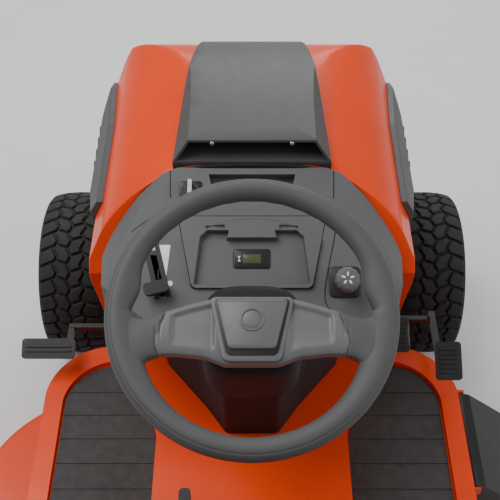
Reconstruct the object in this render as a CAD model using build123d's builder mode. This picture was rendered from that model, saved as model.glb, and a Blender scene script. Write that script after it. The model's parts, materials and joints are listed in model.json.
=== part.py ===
"""Lawn tractor with a steering wheel, a tilting hood and a belt-driven mower deck under its frame.

Frame: +Y is forward, +X is the operator's right, +Z is up, in millimetres. The origin is on the ground,
under the middle of the machine. The steering wheel turns the front wheels through a pinion, a toothed
sector, a drag link and a tie rod. The crankshaft drives the transaxle and the blades through two belts.
"""

import os
from math import acos, atan, cos, degrees, pi, radians, sin, sqrt, tan

from build123d import *

os.makedirs("parts", exist_ok=True)

# ---- sizes that set the rest -------------------------------------------------------------------
fit = 0.1  # radial running clearance of a shaft in its bush
seat_gap = 0.3  # gap where one cover lies against another
rear_end_y = -875
front_end_y = 875
rear_axle_y = -560
front_axle_y = 670

# ---- frame rails and the plates across them ----------------------------------------------------
rail_outer_x = 150
rail_wall = 4
rail_flange = 40
rail_bottom_z = 270
rail_height = 80
rail_rear_y = -790
rail_front_y = 800
plate_wall = 5
rail_top_z = rail_bottom_z + rail_height
inside_flange_z = rail_bottom_z + rail_wall

# ---- wheels ------------------------------------------------------------------------------------
front_tyre_radius = 190
front_tyre_width = 145
front_bead_radius = 82
front_wheel_x = 400
rear_tyre_radius = 250
rear_tyre_width = 205
rear_bead_radius = 108
rear_wheel_x = 385
rim_wall = 3.5
rear_shaft_radius = 12.5
stub_radius = 12

# ---- steering ----------------------------------------------------------------------------------
wheel_radius = 190
wheel_grip_radius = 15.5
wheel_y = -10
wheel_z = 915
wheel_tilt = 20  # degrees that the column leans back from the vertical
shaft_radius = 9
joint_z = 400  # height of the universal joint between column shaft and pinion shaft
gear_module = 2.5
pinion_teeth = 12
sector_teeth = 71  # of the whole ring that the sector's inner teeth belong to
gear_pressure = 25  # degrees
gear_backlash = 0.5
gear_wall = 8
gear_z = 257
steer_arm = 70  # from a pivot to its rod end, the same on sector and spindles
kingpin_x = 300
kingpin_radius = 12
link_wall = 9
stud_radius = 6
link_z = 240  # underside of the drag link's eyes
tie_rod_z = 226  # underside of the tie rod's eyes
arm_z = 251  # underside of the spindle arms
open_eye_clearance = 3  # the drag link's free eye round the sector's stud

# ---- front axle --------------------------------------------------------------------------------
beam_z = 225
beam_height = 44
beam_depth = 44
pivot_pin_radius = 10

# ---- engine and drive --------------------------------------------------------------------------
crank_y = 510
crank_radius = 12
drive_pulley_radius = 60
mower_pulley_radius = 65
deck_pulley_radius = 60
transaxle_pulley_y = -500
drive_belt_z = 310
mower_belt_z = 190
belt_width = 10
belt_depth = 8
engine_half_width = 165
engine_rear_y = 400
engine_front_y = 700
engine_block_height = 110
engine_top_z = 700

# ---- mower deck --------------------------------------------------------------------------------
deck_x = -60
deck_y = 105
spindle_spread = 510
deck_swing_radius = 247
blade_radius = 232
blade_width = 62
blade_z = 55
deck_bottom_z = 35
deck_top_z = 150
deck_wall = 4
deck_lift = 50
spindle_radius = 12

# ---- hood --------------------------------------------------------------------------------------
hood_wall = 4
hood_bottom_z = 430
hood_top_z = 802
hood_half_width = 284
hood_rear_top_y = 385
hood_rear_tip_y = 287
hood_front_y = 864
hood_pivot_y = 836
hood_pivot_z = 405

# ---- dash and pedestal -------------------------------------------------------------------------
dash_wall = 4
dash_slope = 27  # degrees that the dash face leans back from the horizontal
dash_bottom_z = 640

# ---- fender and footrests ----------------------------------------------------------------------
sheet = 4
foot_z = 300  # top of the footboards
foot_half_width = 408
foot_front_y = 366
foot_corner = 110
foot_rear_y = -290
rim_wide = 36
rim_high = 12
tunnel_half_width = 172
tunnel_front_half_width = 205
tunnel_z = 400
fender_half_width = 470
fender_rear_y = -850
fender_z = 545
fender_skirt = 40

# ---- levers ------------------------------------------------------------------------------------
lift_pivot_y = -330
lift_pivot_z = 318
lift_shaft_radius = 8
cruise_x = -112
cruise_y = -40
cruise_pivot_z = 374

# ---- pedals ------------------------------------------------------------------------------------
pedal_pivot_y = 236
pedal_pivot_z = 336

# ---- seat --------------------------------------------------------------------------------------
seat_half_width = 215
seat_front_y = -306
seat_pan_z = 562
seat_pan_wall = 6
seat_pivot_y = -330
seat_bumper = seat_pan_z - fender_z


def cross(y):
    """A plane across the machine at y, with local x along +X and local y along +Z."""
    return Plane.XZ.offset(-y)


def side(x):
    """A plane along the machine at x, with local x along +Y and local y along +Z."""
    return Plane.YZ.offset(x)


def save(piece, name):
    """Labels a finished piece and writes it as parts/NAME.step."""
    piece.part.label = name
    export_step(piece.part, f"parts/{name}.step")


# =================================================================================================
# Frame
# =================================================================================================
with BuildPart() as frame_rails:
    with BuildSketch(cross(rail_rear_y)):
        for hand in (-1, 1):
            with Locations((hand * (rail_outer_x - rail_flange / 2), rail_bottom_z + rail_height / 2)):
                Rectangle(rail_flange, rail_height)
            hollow_x = rail_outer_x - rail_wall - rail_flange / 2
            with Locations((hand * hollow_x, rail_bottom_z + rail_height / 2)):
                Rectangle(rail_flange, rail_height - 2 * rail_wall, mode=Mode.SUBTRACT)
    extrude(amount=rail_rear_y - rail_front_y)
    # bore in the right rail for the lift lever's cross shaft
    with BuildSketch(side(rail_outer_x - rail_wall - 1)):
        with Locations((lift_pivot_y, lift_pivot_z)):
            Circle(lift_shaft_radius + fit)
    extrude(amount=rail_wall + 2, mode=Mode.SUBTRACT)
save(frame_rails, "frame_rails")

web_inner_x = rail_outer_x - rail_wall
axle_saddle_half = 34
beam_clearance = 2.5
ear_y = beam_depth / 2 + beam_clearance
column_lean = tan(radians(wheel_tilt))
joint_y = wheel_y + (wheel_z - joint_z) * column_lean
pinion_radius = gear_module * pinion_teeth / 2
sector_radius = gear_module * sector_teeth / 2
sector_x = sector_radius - pinion_radius  # the sector's teeth reach round the pinion's left side
hitch_hole_radius = 10
hitch_hole_y = -850
hitch_wall = 6
strap_ys = (-60, 200)  # where the deck hangs on the rails
engine_plate_top_z = rail_top_z + plate_wall

with BuildPart() as frame_crossmembers:
    # front and rear end plates between the rails
    for end_y in (rail_rear_y + plate_wall, rail_front_y - plate_wall):
        with Locations((0, end_y, rail_bottom_z + rail_height / 2)):
            Box(2 * web_inner_x, plate_wall, rail_height - 2 * rail_wall)
    # hitch plate under the rails' rear ends, with the drawbar pin's hole
    with BuildSketch(Plane.XY.offset(rail_bottom_z - hitch_wall)):
        with Locations((0, (rear_end_y + rail_rear_y + 90) / 2)):
            RectangleRounded(230, rail_rear_y + 90 - rear_end_y, 20)
        with Locations((0, hitch_hole_y)):
            Circle(hitch_hole_radius, mode=Mode.SUBTRACT)
    extrude(amount=hitch_wall)
    # plate that carries the pinion's foot and the sector's stud, inside the lower flanges
    steer_plate_rear_y = joint_y - 30
    steer_plate_front_y = joint_y + 30
    with BuildSketch(Plane.XY.offset(inside_flange_z)):
        with Locations((0, (steer_plate_rear_y + steer_plate_front_y) / 2)):
            Rectangle(2 * web_inner_x, steer_plate_front_y - steer_plate_rear_y)
        with Locations((0, joint_y)):
            Circle(shaft_radius + fit, mode=Mode.SUBTRACT)
    extrude(amount=plate_wall)
    with BuildSketch(Plane.XY.offset(gear_z - 4)):
        with Locations((sector_x, joint_y)):
            Circle(stud_radius + 2)
    extrude(amount=inside_flange_z - gear_z + 4)
    # upper bearing plate of the pinion shaft, on top of the rails
    with BuildSketch(Plane.XY.offset(rail_top_z)):
        with Locations((0, joint_y)):
            Rectangle(2 * rail_outer_x, 70)
            Circle(shaft_radius + fit, mode=Mode.SUBTRACT)
    extrude(amount=plate_wall)
    # engine plate on top of the rails, with the crankshaft's hole
    with BuildSketch(Plane.XY.offset(rail_top_z)):
        with Locations((0, (engine_rear_y - 20 + engine_front_y + 80) / 2)):
            Rectangle(2 * rail_outer_x, engine_front_y - engine_rear_y + 100)
        with Locations((0, crank_y)):
            Circle(crank_radius + 18, mode=Mode.SUBTRACT)
    extrude(amount=plate_wall)
    # tray for the battery and the fuel tank
    with BuildSketch(Plane.XY.offset(rail_top_z)):
        with Locations((0, -685)):
            Rectangle(520, 230)
    extrude(amount=plate_wall)
    # front axle saddle: a plate, two ears under it and the pin that the beam rocks on
    with Locations((0, front_axle_y, inside_flange_z + plate_wall / 2)):
        Box(2 * web_inner_x, 2 * (ear_y + 12), plate_wall)
    for end in (-1, 1):
        with Locations((0, front_axle_y + end * (ear_y + 3), (inside_flange_z + beam_z - 28) / 2)):
            Box(2 * axle_saddle_half, 6, inside_flange_z - beam_z + 28)
    with BuildSketch(cross(front_axle_y - ear_y - 12)):
        with Locations((0, beam_z)):
            Circle(pivot_pin_radius)
    extrude(amount=-2 * (ear_y + 12))
    # upright brackets on the frame's nose, with the pin that the hood tilts on
    for hand in (-1, 1):
        with BuildSketch(side(hand * 116)):
            with BuildLine():
                Polyline((790, rail_top_z), (800, rail_top_z), (850, 398), (850, 416), (824, 416),
                         (790, rail_top_z + 20), close=True)
            make_face()
        extrude(amount=hand * 6)
        with BuildSketch(side(hand * 104)):
            with Locations((hood_pivot_y, hood_pivot_z)):
                Circle(6)
        extrude(amount=hand * 14)
    # shafts that the pedals turn on
    for hand, reach in ((-1, 174), (1, 188)):
        with BuildSketch(side(hand * rail_outer_x)):
            with Locations((pedal_pivot_y, pedal_pivot_z)):
                Circle(6)
        extrude(amount=hand * (reach - rail_outer_x))
        with BuildSketch(side(hand * rail_outer_x)):
            with Locations((pedal_pivot_y, pedal_pivot_z)):
                Circle(12)
        extrude(amount=hand * 7)
    # studs that the deck's hanger straps ride on
    for hand in (-1, 1):
        for stud_y in strap_ys:
            with BuildSketch(side(hand * rail_outer_x)):
                with Locations((stud_y, rail_bottom_z + rail_height / 2)):
                    Circle(stud_radius)
            extrude(amount=hand * 15)
save(frame_crossmembers, "frame_crossmembers")

bumper_half = 185
with BuildPart() as front_bumper:
    with BuildSketch(Plane.XY.offset(290)):
        with BuildLine():
            Polyline((-bumper_half, rail_front_y + 2), (-bumper_half, 838), (-140, front_end_y),
                     (140, front_end_y), (bumper_half, 838), (bumper_half, rail_front_y + 2), close=True)
        make_face()
        with BuildLine():
            Polyline((-bumper_half + 8, rail_front_y + 8), (-bumper_half + 8, 834), (-137, front_end_y - 8),
                     (137, front_end_y - 8), (bumper_half - 8, 834), (bumper_half - 8, rail_front_y + 8),
                     close=True)
        make_face(mode=Mode.SUBTRACT)
    extrude(amount=58)
    # the bar stands off the rails on two short blocks
    for hand in (-1, 1):
        with Locations((hand * 130, rail_front_y + 1, 310)):
            Box(36, 2, 30)
save(front_bumper, "front_bumper")

# =================================================================================================
# Wheels: a tyre is a ring with rounded shoulders, a rim is a barrel, a disc and a hub
# =================================================================================================


def tyre_section(radius, width, bead):
    """Draws one tyre's section, with local x across the tread and local y from the axle outwards."""
    half = width / 2
    bead_half = half - 11
    crown = 4
    shoulder_r = radius - 26
    with BuildLine() as outline:
        foot = Polyline((-bead_half, bead + 12), (-bead_half, bead), (bead_half, bead), (bead_half, bead + 12))
        bulge = (radius + bead) / 2
        right = ThreePointArc(foot @ 1, (half, bulge), (half - 6, shoulder_r))
        corner = ThreePointArc(right @ 1, (half - 13, radius - crown - 7), (half - 30, radius - crown))
        top = ThreePointArc(corner @ 1, (0, radius), (30 - half, radius - crown))
        left_corner = ThreePointArc(top @ 1, (13 - half, radius - crown - 7), (6 - half, shoulder_r))
        ThreePointArc(left_corner @ 1, (-half, bulge), foot @ 0)
    make_face(outline.edges())


def wheel_plane(x, y, z, hand):
    """A plane through an axle, with local x pointing outwards along the axle and local y up."""
    return Plane(origin=(x, y, z), x_dir=(hand, 0, 0), z_dir=(0, -hand, 0))


def make_tyre(name, x, y, radius, width, bead, hand):
    """Revolves one tyre about its axle and saves it."""
    plane = wheel_plane(x, y, radius, hand)
    with BuildPart() as tyre:
        with BuildSketch(plane):
            tyre_section(radius, width, bead)
        revolve(axis=Axis(plane.origin, (1, 0, 0)))
    save(tyre, name)


def make_rim(name, x, y, radius, bead, bead_half, hub, bore, hub_in, hub_out, hand, shaft_to=None):
    """Revolves a rim with a dished disc, a bored hub and a cap, and saves it.

    hub_in and hub_out are how far the hub reaches inwards and outwards of the wheel's middle. With
    shaft_to, the hub is keyed to a solid drive shaft that reaches in to that x.
    """
    plane = wheel_plane(x, y, radius, hand)
    axis = Axis(plane.origin, (1, 0, 0))
    barrel = bead - seat_gap
    lip = bead + 9
    with BuildPart() as rim:
        with BuildSketch(plane):
            with BuildLine():
                Polyline((-bead_half - 6, lip), (-bead_half - 3, lip), (-bead_half - 3, barrel),
                         (bead_half + 3, barrel), (bead_half + 3, lip), (bead_half + 6, lip),
                         (bead_half + 6, barrel - rim_wall), (14, barrel - rim_wall),
                         (6, barrel - 22), (6, hub), (hub_out, hub), (hub_out, bore), (-hub_in, bore),
                         (-hub_in, hub), (1, hub), (1, barrel - 20), (8, barrel - rim_wall),
                         (-bead_half - 6, barrel - rim_wall), close=True)
            make_face()
        revolve(axis=axis)
        if shaft_to is None:  # a dust cap over the hub's outer end
            with BuildSketch(plane):
                with BuildLine():
                    Polyline((hub_out, 0), (hub_out + 14, 0), (hub_out + 14, hub - 8),
                             (hub_out + 6, hub + 2), (hub_out, hub + 2), close=True)
                make_face()
            revolve(axis=axis)
        else:  # the drive shaft, with a washer and a clip ring at its outer end
            with BuildSketch(side(hand * shaft_to)):
                with Locations((y, radius)):
                    Circle(bore)
            extrude(amount=hand * (x * hand + hub_out + 8 - shaft_to))
    save(rim, name)


for hand, word in ((-1, "left"), (1, "right")):
    make_tyre(f"front_tyre_{word}", hand * front_wheel_x, front_axle_y, front_tyre_radius,
              front_tyre_width, front_bead_radius, hand)
    make_rim(f"front_rim_{word}", hand * front_wheel_x, front_axle_y, front_tyre_radius,
             front_bead_radius, front_tyre_width / 2 - 11, 24, stub_radius + fit, 42, 45, hand)
    make_tyre(f"rear_tyre_{word}", hand * rear_wheel_x, rear_axle_y, rear_tyre_radius,
              rear_tyre_width, rear_bead_radius, hand)
    make_rim(f"rear_rim_{word}", hand * rear_wheel_x, rear_axle_y, rear_tyre_radius,
             rear_bead_radius, rear_tyre_width / 2 - 11, 30, rear_shaft_radius, 60, 50, hand,
             shaft_to=108)

# =================================================================================================
# Front axle and steering
# =================================================================================================
lug_half = 24
lug_bottom_z = beam_z - 22
lug_top_z = beam_z + 25.5
with BuildPart() as front_axle_beam:
    with BuildSketch(cross(front_axle_y + beam_depth / 2)):
        with BuildLine():
            Polyline((-kingpin_x, beam_z - 14), (-60, beam_z - beam_height / 2), (60, beam_z - beam_height / 2),
                     (kingpin_x, beam_z - 14), (kingpin_x, beam_z + 18), (60, beam_z + beam_height / 2),
                     (-60, beam_z + beam_height / 2), (-kingpin_x, beam_z + 18), close=True)
        make_face()
    extrude(amount=beam_depth)
    for hand in (-1, 1):
        with BuildSketch(Plane.XY.offset(lug_bottom_z)):
            with Locations((hand * kingpin_x, front_axle_y)):
                Circle(lug_half)
        extrude(amount=lug_top_z - lug_bottom_z)
        with Locations((hand * kingpin_x, front_axle_y, lug_top_z)):
            Hole(kingpin_radius + fit, depth=60)
    with BuildSketch(cross(front_axle_y + beam_depth)):
        with Locations((0, beam_z)):
            Circle(pivot_pin_radius + fit)
    extrude(amount=2 * beam_depth, mode=Mode.SUBTRACT)
save(front_axle_beam, "front_axle_beam")

for hand, word in ((-1, "left"), (1, "right")):
    with BuildPart() as spindle:
        # kingpin, with the block that carries the stub axle under the beam's lug
        with BuildSketch(Plane.XY.offset(front_tyre_radius - 16)):
            with Locations((hand * kingpin_x, front_axle_y)):
                Circle(20)
        extrude(amount=lug_bottom_z - 0.5 - front_tyre_radius + 16)
        with BuildSketch(Plane.XY.offset(front_tyre_radius - 16)):
            with Locations((hand * kingpin_x, front_axle_y)):
                Circle(kingpin_radius)
        extrude(amount=arm_z + 12 - front_tyre_radius + 16)
        with BuildSketch(side(hand * kingpin_x)):
            with Locations((front_axle_y, front_tyre_radius)):
                Circle(stub_radius)
        extrude(amount=hand * (front_wheel_x - kingpin_x + 40))
        # steering arm over the lug, with the stud that both rods hang on at the left side
        with BuildSketch(Plane.XY.offset(arm_z)):
            with Locations((hand * kingpin_x, front_axle_y)):
                Circle(19)
            with Locations((hand * kingpin_x, front_axle_y - steer_arm)):
                Circle(14)
            with Locations((hand * kingpin_x, front_axle_y - steer_arm / 2)):
                Rectangle(26, steer_arm)
        extrude(amount=8)
        with BuildSketch(Plane.XY.offset(tie_rod_z - 3)):
            with Locations((hand * kingpin_x, front_axle_y - steer_arm)):
                Circle(stud_radius)
        extrude(amount=arm_z - tie_rod_z + 3)
        with BuildSketch(Plane.XY.offset(tie_rod_z - 5)):
            with Locations((hand * kingpin_x, front_axle_y - steer_arm)):
                Circle(stud_radius + 3)
        extrude(amount=4.5)
    save(spindle, f"spindle_{word}")

rod_eye_radius = 13
arm_end_y = front_axle_y - steer_arm
with BuildPart() as tie_rod:
    with BuildSketch(Plane.XY.offset(tie_rod_z)):
        for hand in (-1, 1):
            with Locations((hand * kingpin_x, arm_end_y)):
                Circle(rod_eye_radius)
        with Locations((0, arm_end_y)):
            Rectangle(2 * kingpin_x, 14)
        for hand in (-1, 1):
            with Locations((hand * kingpin_x, arm_end_y)):
                Circle(stud_radius + fit, mode=Mode.SUBTRACT)
    extrude(amount=link_wall)
save(tie_rod, "tie_rod")

sector_stud_y = joint_y - steer_arm
link_run = kingpin_x + sector_x
link_rise = arm_end_y - sector_stud_y
link_length = sqrt(link_run**2 + link_rise**2)
with BuildPart() as drag_link:
    with BuildSketch(Plane.XY.offset(link_z)):
        with Locations((-kingpin_x, arm_end_y), (sector_x, sector_stud_y)):
            Circle(rod_eye_radius + 1)
        with Locations(Location(((sector_x - kingpin_x) / 2, (arm_end_y + sector_stud_y) / 2),
                                -degrees(atan(link_rise / link_run)))):
            Rectangle(link_length, 14)
        with Locations((-kingpin_x, arm_end_y)):
            Circle(stud_radius + fit, mode=Mode.SUBTRACT)
        with Locations((sector_x, sector_stud_y)):
            Circle(stud_radius + open_eye_clearance, mode=Mode.SUBTRACT)
    extrude(amount=link_wall)
save(drag_link, "drag_link")


def tooth_points(teeth, addendum, dedendum, thin):
    """Half of one involute tooth, from root to tip, as (radius, angle from the tooth's middle)."""
    pitch = gear_module * teeth / 2
    base = pitch * cos(radians(gear_pressure))
    tip = pitch + addendum * gear_module
    root = pitch - dedendum * gear_module

    def involute(radius):
        roll = acos(min(1, base / radius))
        return tan(roll) - roll

    half_at_pitch = pi / 2 / teeth - thin / 2 / pitch
    start = max(base, root + 0.3)
    points = [(root, half_at_pitch + involute(pitch) - involute(root))]
    for step in range(5):
        radius = start + (tip - start) * step / 4
        points.append((radius, half_at_pitch + involute(pitch) - involute(radius)))
    return points


def gear_outline(teeth, addendum, dedendum, thin, middle_angles):
    """Points round a gear's teeth, one tooth about each of middle_angles, in order of angle."""
    half = tooth_points(teeth, addendum, dedendum, thin)
    outline = []
    for middle in middle_angles:
        outline += [(r * cos(middle - a), r * sin(middle - a)) for r, a in half]
        outline += [(r * cos(middle + a), r * sin(middle + a)) for r, a in reversed(half)]
    return outline


# A pinion tooth points straight left into a space of the sector, whose inner teeth face right.
pinion_angles = [2 * pi * n / pinion_teeth for n in range(pinion_teeth)]
sector_pitch_angle = 2 * pi / sector_teeth
sector_spaces = 10  # on each side of the middle one
sector_angles = [pi + sector_pitch_angle * n for n in range(-sector_spaces, sector_spaces + 1)]
window_half_angle = radians(54)
window_inner = sector_x - pinion_radius - 2 * gear_module - 2
sector_half_angle = radians(63)
sector_outer = sector_radius + 13

pinion_top_z = gear_z + gear_wall + 1
with BuildPart() as steering_pinion:
    with BuildSketch(Plane.XY.offset(gear_z - 1)):
        with Locations((0, joint_y)):
            with BuildLine():
                pinion_line = gear_outline(pinion_teeth, 0.8, 1.25, gear_backlash, pinion_angles)
                Polyline(*[(x, joint_y + y) for x, y in pinion_line], close=True)
            make_face()
    extrude(amount=pinion_top_z - gear_z + 1)
    with BuildSketch(Plane.XY.offset(pinion_top_z - 2)):
        with Locations((0, joint_y)):
            Circle(shaft_radius)
    extrude(amount=joint_z - 26 - pinion_top_z + 2)
    # the lower cup of the universal joint, resting on a collar over the bearing plate
    with BuildSketch(Plane.XY.offset(engine_plate_top_z + 0.3)):
        with Locations((0, joint_y)):
            Circle(shaft_radius + 9)
    extrude(amount=joint_z - 8 - engine_plate_top_z - 0.3)
    with Locations((0, joint_y, joint_z)):
        Sphere(14)
save(steering_pinion, "steering_pinion")



def ring_points(radius, half_angle, steps):
    """Points along an arc about straight left, from one side of it to the other."""
    angles = [pi - half_angle + 2 * half_angle * n / steps for n in range(steps + 1)]
    return [(sector_x + radius * cos(a), joint_y + radius * sin(a)) for a in angles]


with BuildPart() as sector_gear:
    with BuildSketch(Plane.XY.offset(gear_z)):
        with BuildLine():
            Polyline((sector_x, joint_y), *ring_points(sector_outer, sector_half_angle, 24), close=True)
        make_face()
        with Locations((sector_x, joint_y)):
            Circle(24)
        with Locations((sector_x, joint_y - steer_arm / 2)):
            Rectangle(28, steer_arm)
        with Locations((sector_x, sector_stud_y)):
            Circle(14)
        # window that the pinion runs in, its outer edge cut into inner teeth
        with BuildLine():
            ring_line = gear_outline(sector_teeth, 1.25, 0.8, -gear_backlash / 4, sector_angles)
            edge = [(sector_x + x, joint_y + y) for x, y in ring_line]
            sides = ring_points(sector_radius - 2, window_half_angle, 1)
            back = ring_points(window_inner, window_half_angle, 24)
            Polyline(sides[0], *edge, sides[1], *reversed(back), close=True)
        make_face(mode=Mode.SUBTRACT)
        with Locations((sector_x, joint_y)):
            Circle(stud_radius + 2 + fit, mode=Mode.SUBTRACT)
    extrude(amount=gear_wall)
    with BuildSketch(Plane.XY.offset(link_z - 4)):
        with Locations((sector_x, sector_stud_y)):
            Circle(stud_radius)
    extrude(amount=gear_z - link_z + 5)
save(sector_gear, "sector_gear")

# the column leans back, so the wheel's plane faces the operator
column = Plane(origin=(0, wheel_y, wheel_z), x_dir=(1, 0, 0),
               z_dir=(0, -sin(radians(wheel_tilt)), cos(radians(wheel_tilt))))
column_length = (wheel_z - joint_z) / cos(radians(wheel_tilt))
hub_bottom = -58
with BuildPart() as steering_shaft:
    with BuildSketch(column.offset(hub_bottom + 16)):
        Circle(shaft_radius)
    extrude(amount=-(column_length - 24 + hub_bottom + 16))
    # the joint's upper fork, a cup that clears the ball on the pinion shaft
    with BuildSketch(column.offset(-column_length + 15.5)):
        Circle(shaft_radius + 5)
    extrude(amount=12)
save(steering_shaft, "steering_shaft")

with BuildPart() as steering_wheel_rim:
    with BuildSketch(Plane(origin=column.origin, x_dir=(1, 0, 0), z_dir=(0, -column.z_dir.Z, column.z_dir.Y))):
        with Locations((wheel_radius - wheel_grip_radius, 0)):
            Circle(wheel_grip_radius)
    revolve(axis=Axis(column.origin, column.z_dir))
save(steering_wheel_rim, "steering_wheel_rim")

spoke_inner = wheel_radius - 2 * wheel_grip_radius - seat_gap
spoke_top = 6
spoke_wall = 18
hub_radius = 56
cover_face = 16
with BuildPart() as steering_wheel_spokes:
    with BuildSketch(column.offset(spoke_top)):
        for hand in (-1, 1):
            with BuildLine():
                Polyline((0, 16), (hand * 46, 12), (hand * 90, 2), (hand * 128, -16), (hand * 170, -30),
                         (hand * 170, -100), (hand * 132, -98), (hand * 128, -70), (hand * 60, -60),
                         (hand * 34, -68), (0, -68), close=True)
            make_face()
        Circle(spoke_inner, mode=Mode.INTERSECT)
    extrude(amount=-spoke_wall)
    with BuildSketch(column.offset(spoke_top)):
        with BuildLine():
            Polyline((-54, 20), (54, 20), (36, -66), (-36, -66), close=True)
        make_face()
        fillet(vertices(), 8)
    extrude(amount=cover_face - spoke_top - 8)
    with BuildSketch(column.offset(spoke_top)):
        Circle(32)
    extrude(amount=hub_bottom - spoke_top)
    with BuildSketch(column.offset(hub_bottom)):
        Circle(shaft_radius + fit / 5)
    extrude(amount=16, mode=Mode.SUBTRACT)
save(steering_wheel_spokes, "steering_wheel_spokes")

with BuildPart() as steering_hub_cover:
    with BuildSketch(column.offset(cover_face - 8)):
        with BuildLine():
            Polyline((-47, 15), (47, 15), (30, -52), (-30, -52), close=True)
        make_face()
        fillet(vertices(), 7)
    extrude(amount=10)
    chamfer(steering_hub_cover.faces().sort_by(Axis(column.origin, column.z_dir))[-1].edges(), 5)
save(steering_hub_cover, "steering_hub_cover")

# =================================================================================================
# Engine, drive and electrics
# =================================================================================================
with BuildPart() as engine_block:
    with BuildSketch(Plane.XY.offset(engine_plate_top_z)):
        with Locations((0, (engine_rear_y + engine_front_y) / 2)):
            RectangleRounded(250, 250, 30)
        with Locations((0, crank_y)):
            Circle(crank_radius + 0.5, mode=Mode.SUBTRACT)
    extrude(amount=engine_block_height)
    # two finned cylinders in a V, lying forwards and outwards
    for hand in (-1, 1):
        barrel = Plane(origin=(0, crank_y + 40, engine_plate_top_z + 56), x_dir=(0, 0, 1),
                       z_dir=(hand * sin(radians(52)), cos(radians(52)), 0))
        with BuildSketch(barrel.offset(120)):
            Rectangle(96, 90)
        extrude(amount=68)
        for fin in range(5):
            with BuildSketch(barrel.offset(124 + 13 * fin)):
                Rectangle(104, 112)
            extrude(amount=4)
save(engine_block, "engine_block")

shroud_z = engine_plate_top_z + engine_block_height
with BuildPart() as engine_shroud:
    with BuildSketch(Plane.XY.offset(shroud_z + 8)):
        with Locations((0, crank_y)):
            Circle(142)
        with Locations((0, 600)):
            RectangleRounded(280, 150, 30)
    extrude(amount=72, taper=4)
    with BuildSketch(Plane.XY.offset(shroud_z + 8)):
        with Locations((0, crank_y)):
            Circle(118)
    extrude(amount=72, mode=Mode.SUBTRACT)
    with Locations((0, 655, shroud_z + 80)):
        Box(210, 62, 60, align=(Align.CENTER, Align.CENTER, Align.MIN))
    # bosses that stand the shroud on the block
    for x, y in ((-105, 640), (105, 640)):
        with BuildSketch(Plane.XY.offset(shroud_z)):
            with Locations((x, y)):
                Circle(9)
        extrude(amount=8)
save(engine_shroud, "engine_shroud")

flywheel_z = shroud_z + 14
with BuildPart() as crankshaft:
    # shaft from the mower clutch up to the flywheel, all one spinning group
    with BuildSketch(Plane.XY.offset(mower_belt_z - 14)):
        with Locations((0, crank_y)):
            Circle(crank_radius)
    extrude(amount=flywheel_z - mower_belt_z + 14)
    with BuildSketch(Plane.XY.offset(flywheel_z)):
        with Locations((0, crank_y)):
            Circle(108)
    extrude(amount=30)
    with BuildSketch(Plane.XY.offset(flywheel_z + 30)):
        with Locations((0, crank_y)):
            Circle(112)
            Circle(20, mode=Mode.SUBTRACT)
            with PolarLocations(66, 12):
                SlotOverall(70, 8, mode=Mode.SUBTRACT)
    extrude(amount=4)
    for pulley_z, pulley_radius in ((drive_belt_z, drive_pulley_radius), (mower_belt_z, mower_pulley_radius)):
        pulley_plane = Plane(origin=(0, crank_y, pulley_z), x_dir=(1, 0, 0), z_dir=(0, -1, 0))
        with BuildSketch(pulley_plane):
            with BuildLine():
                Polyline((crank_radius - 1, -11), (pulley_radius, -11), (pulley_radius, -8),
                         (pulley_radius - belt_depth, -belt_width / 2 - 0.6),
                         (pulley_radius - belt_depth, belt_width / 2 + 0.6), (pulley_radius, 8),
                         (pulley_radius, 11), (crank_radius - 1, 11), close=True)
            make_face()
        revolve(axis=Axis(pulley_plane.origin, (0, 0, 1)))
    # electric clutch over the mower pulley
    with BuildSketch(Plane.XY.offset(mower_belt_z + 10)):
        with Locations((0, crank_y)):
            Circle(52)
    extrude(amount=42)
save(crankshaft, "crankshaft")

with BuildPart() as muffler:
    with BuildSketch(Plane.XY.offset(engine_plate_top_z + 6)):
        with Locations((0, 750)):
            RectangleRounded(300, 70, 30)
    extrude(amount=84)
    fillet(muffler.edges().filter_by(GeomType.LINE).filter_by(Axis.X), 16)
    for hand in (-1, 1):
        with Locations((hand * 60, 750, engine_plate_top_z)):
            Box(30, 50, 8, align=(Align.CENTER, Align.CENTER, Align.MIN))
save(muffler, "muffler")

tank_bottom_z = rail_top_z + plate_wall
filler_x = -232
filler_y = -766
filler_radius = 24
with BuildPart() as fuel_tank:
    with BuildSketch(Plane.XY.offset(tank_bottom_z)):
        with Locations((-134, -692)):
            RectangleRounded(240, 208, 25)
    extrude(amount=150)
    fillet(fuel_tank.faces().sort_by(Axis.Z)[-1].edges(), 14)
    with BuildSketch(Plane.XY.offset(tank_bottom_z + 140)):
        with Locations((filler_x, filler_y)):
            Circle(filler_radius)
    extrude(amount=fender_z + 10 - tank_bottom_z - 140)
save(fuel_tank, "fuel_tank")

with BuildPart() as fuel_cap:
    cap_plane = Plane(origin=(filler_x, filler_y, fender_z + 1), x_dir=(1, 0, 0), z_dir=(0, -1, 0))
    with BuildSketch(cap_plane):
        with BuildLine():
            Polyline((0, 9 + seat_gap), (filler_radius + seat_gap, 9 + seat_gap), (filler_radius + seat_gap, 0),
                     (filler_radius + 10, 0), (filler_radius + 10, 22), (filler_radius + 4, 28), (0, 28),
                     close=True)
        make_face()
    revolve(axis=Axis(cap_plane.origin, (0, 0, 1)))
    with BuildSketch(Plane.XY.offset(fender_z + 1)):
        with Locations((filler_x, filler_y)):
            with PolarLocations(filler_radius + 10.5, 16):
                Circle(2, mode=Mode.ADD)
    extrude(amount=20)
save(fuel_cap, "fuel_cap")

with BuildPart() as battery:
    with Locations((100, -700, tank_bottom_z)):
        Box(180, 130, 140, align=(Align.CENTER, Align.CENTER, Align.MIN))
    chamfer(battery.edges().filter_by(Axis.Z), 4)
    with Locations((45, -740, tank_bottom_z + 140), (155, -740, tank_bottom_z + 140)):
        Cylinder(9, 14, align=(Align.CENTER, Align.CENTER, Align.MIN))
save(battery, "battery")

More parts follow.
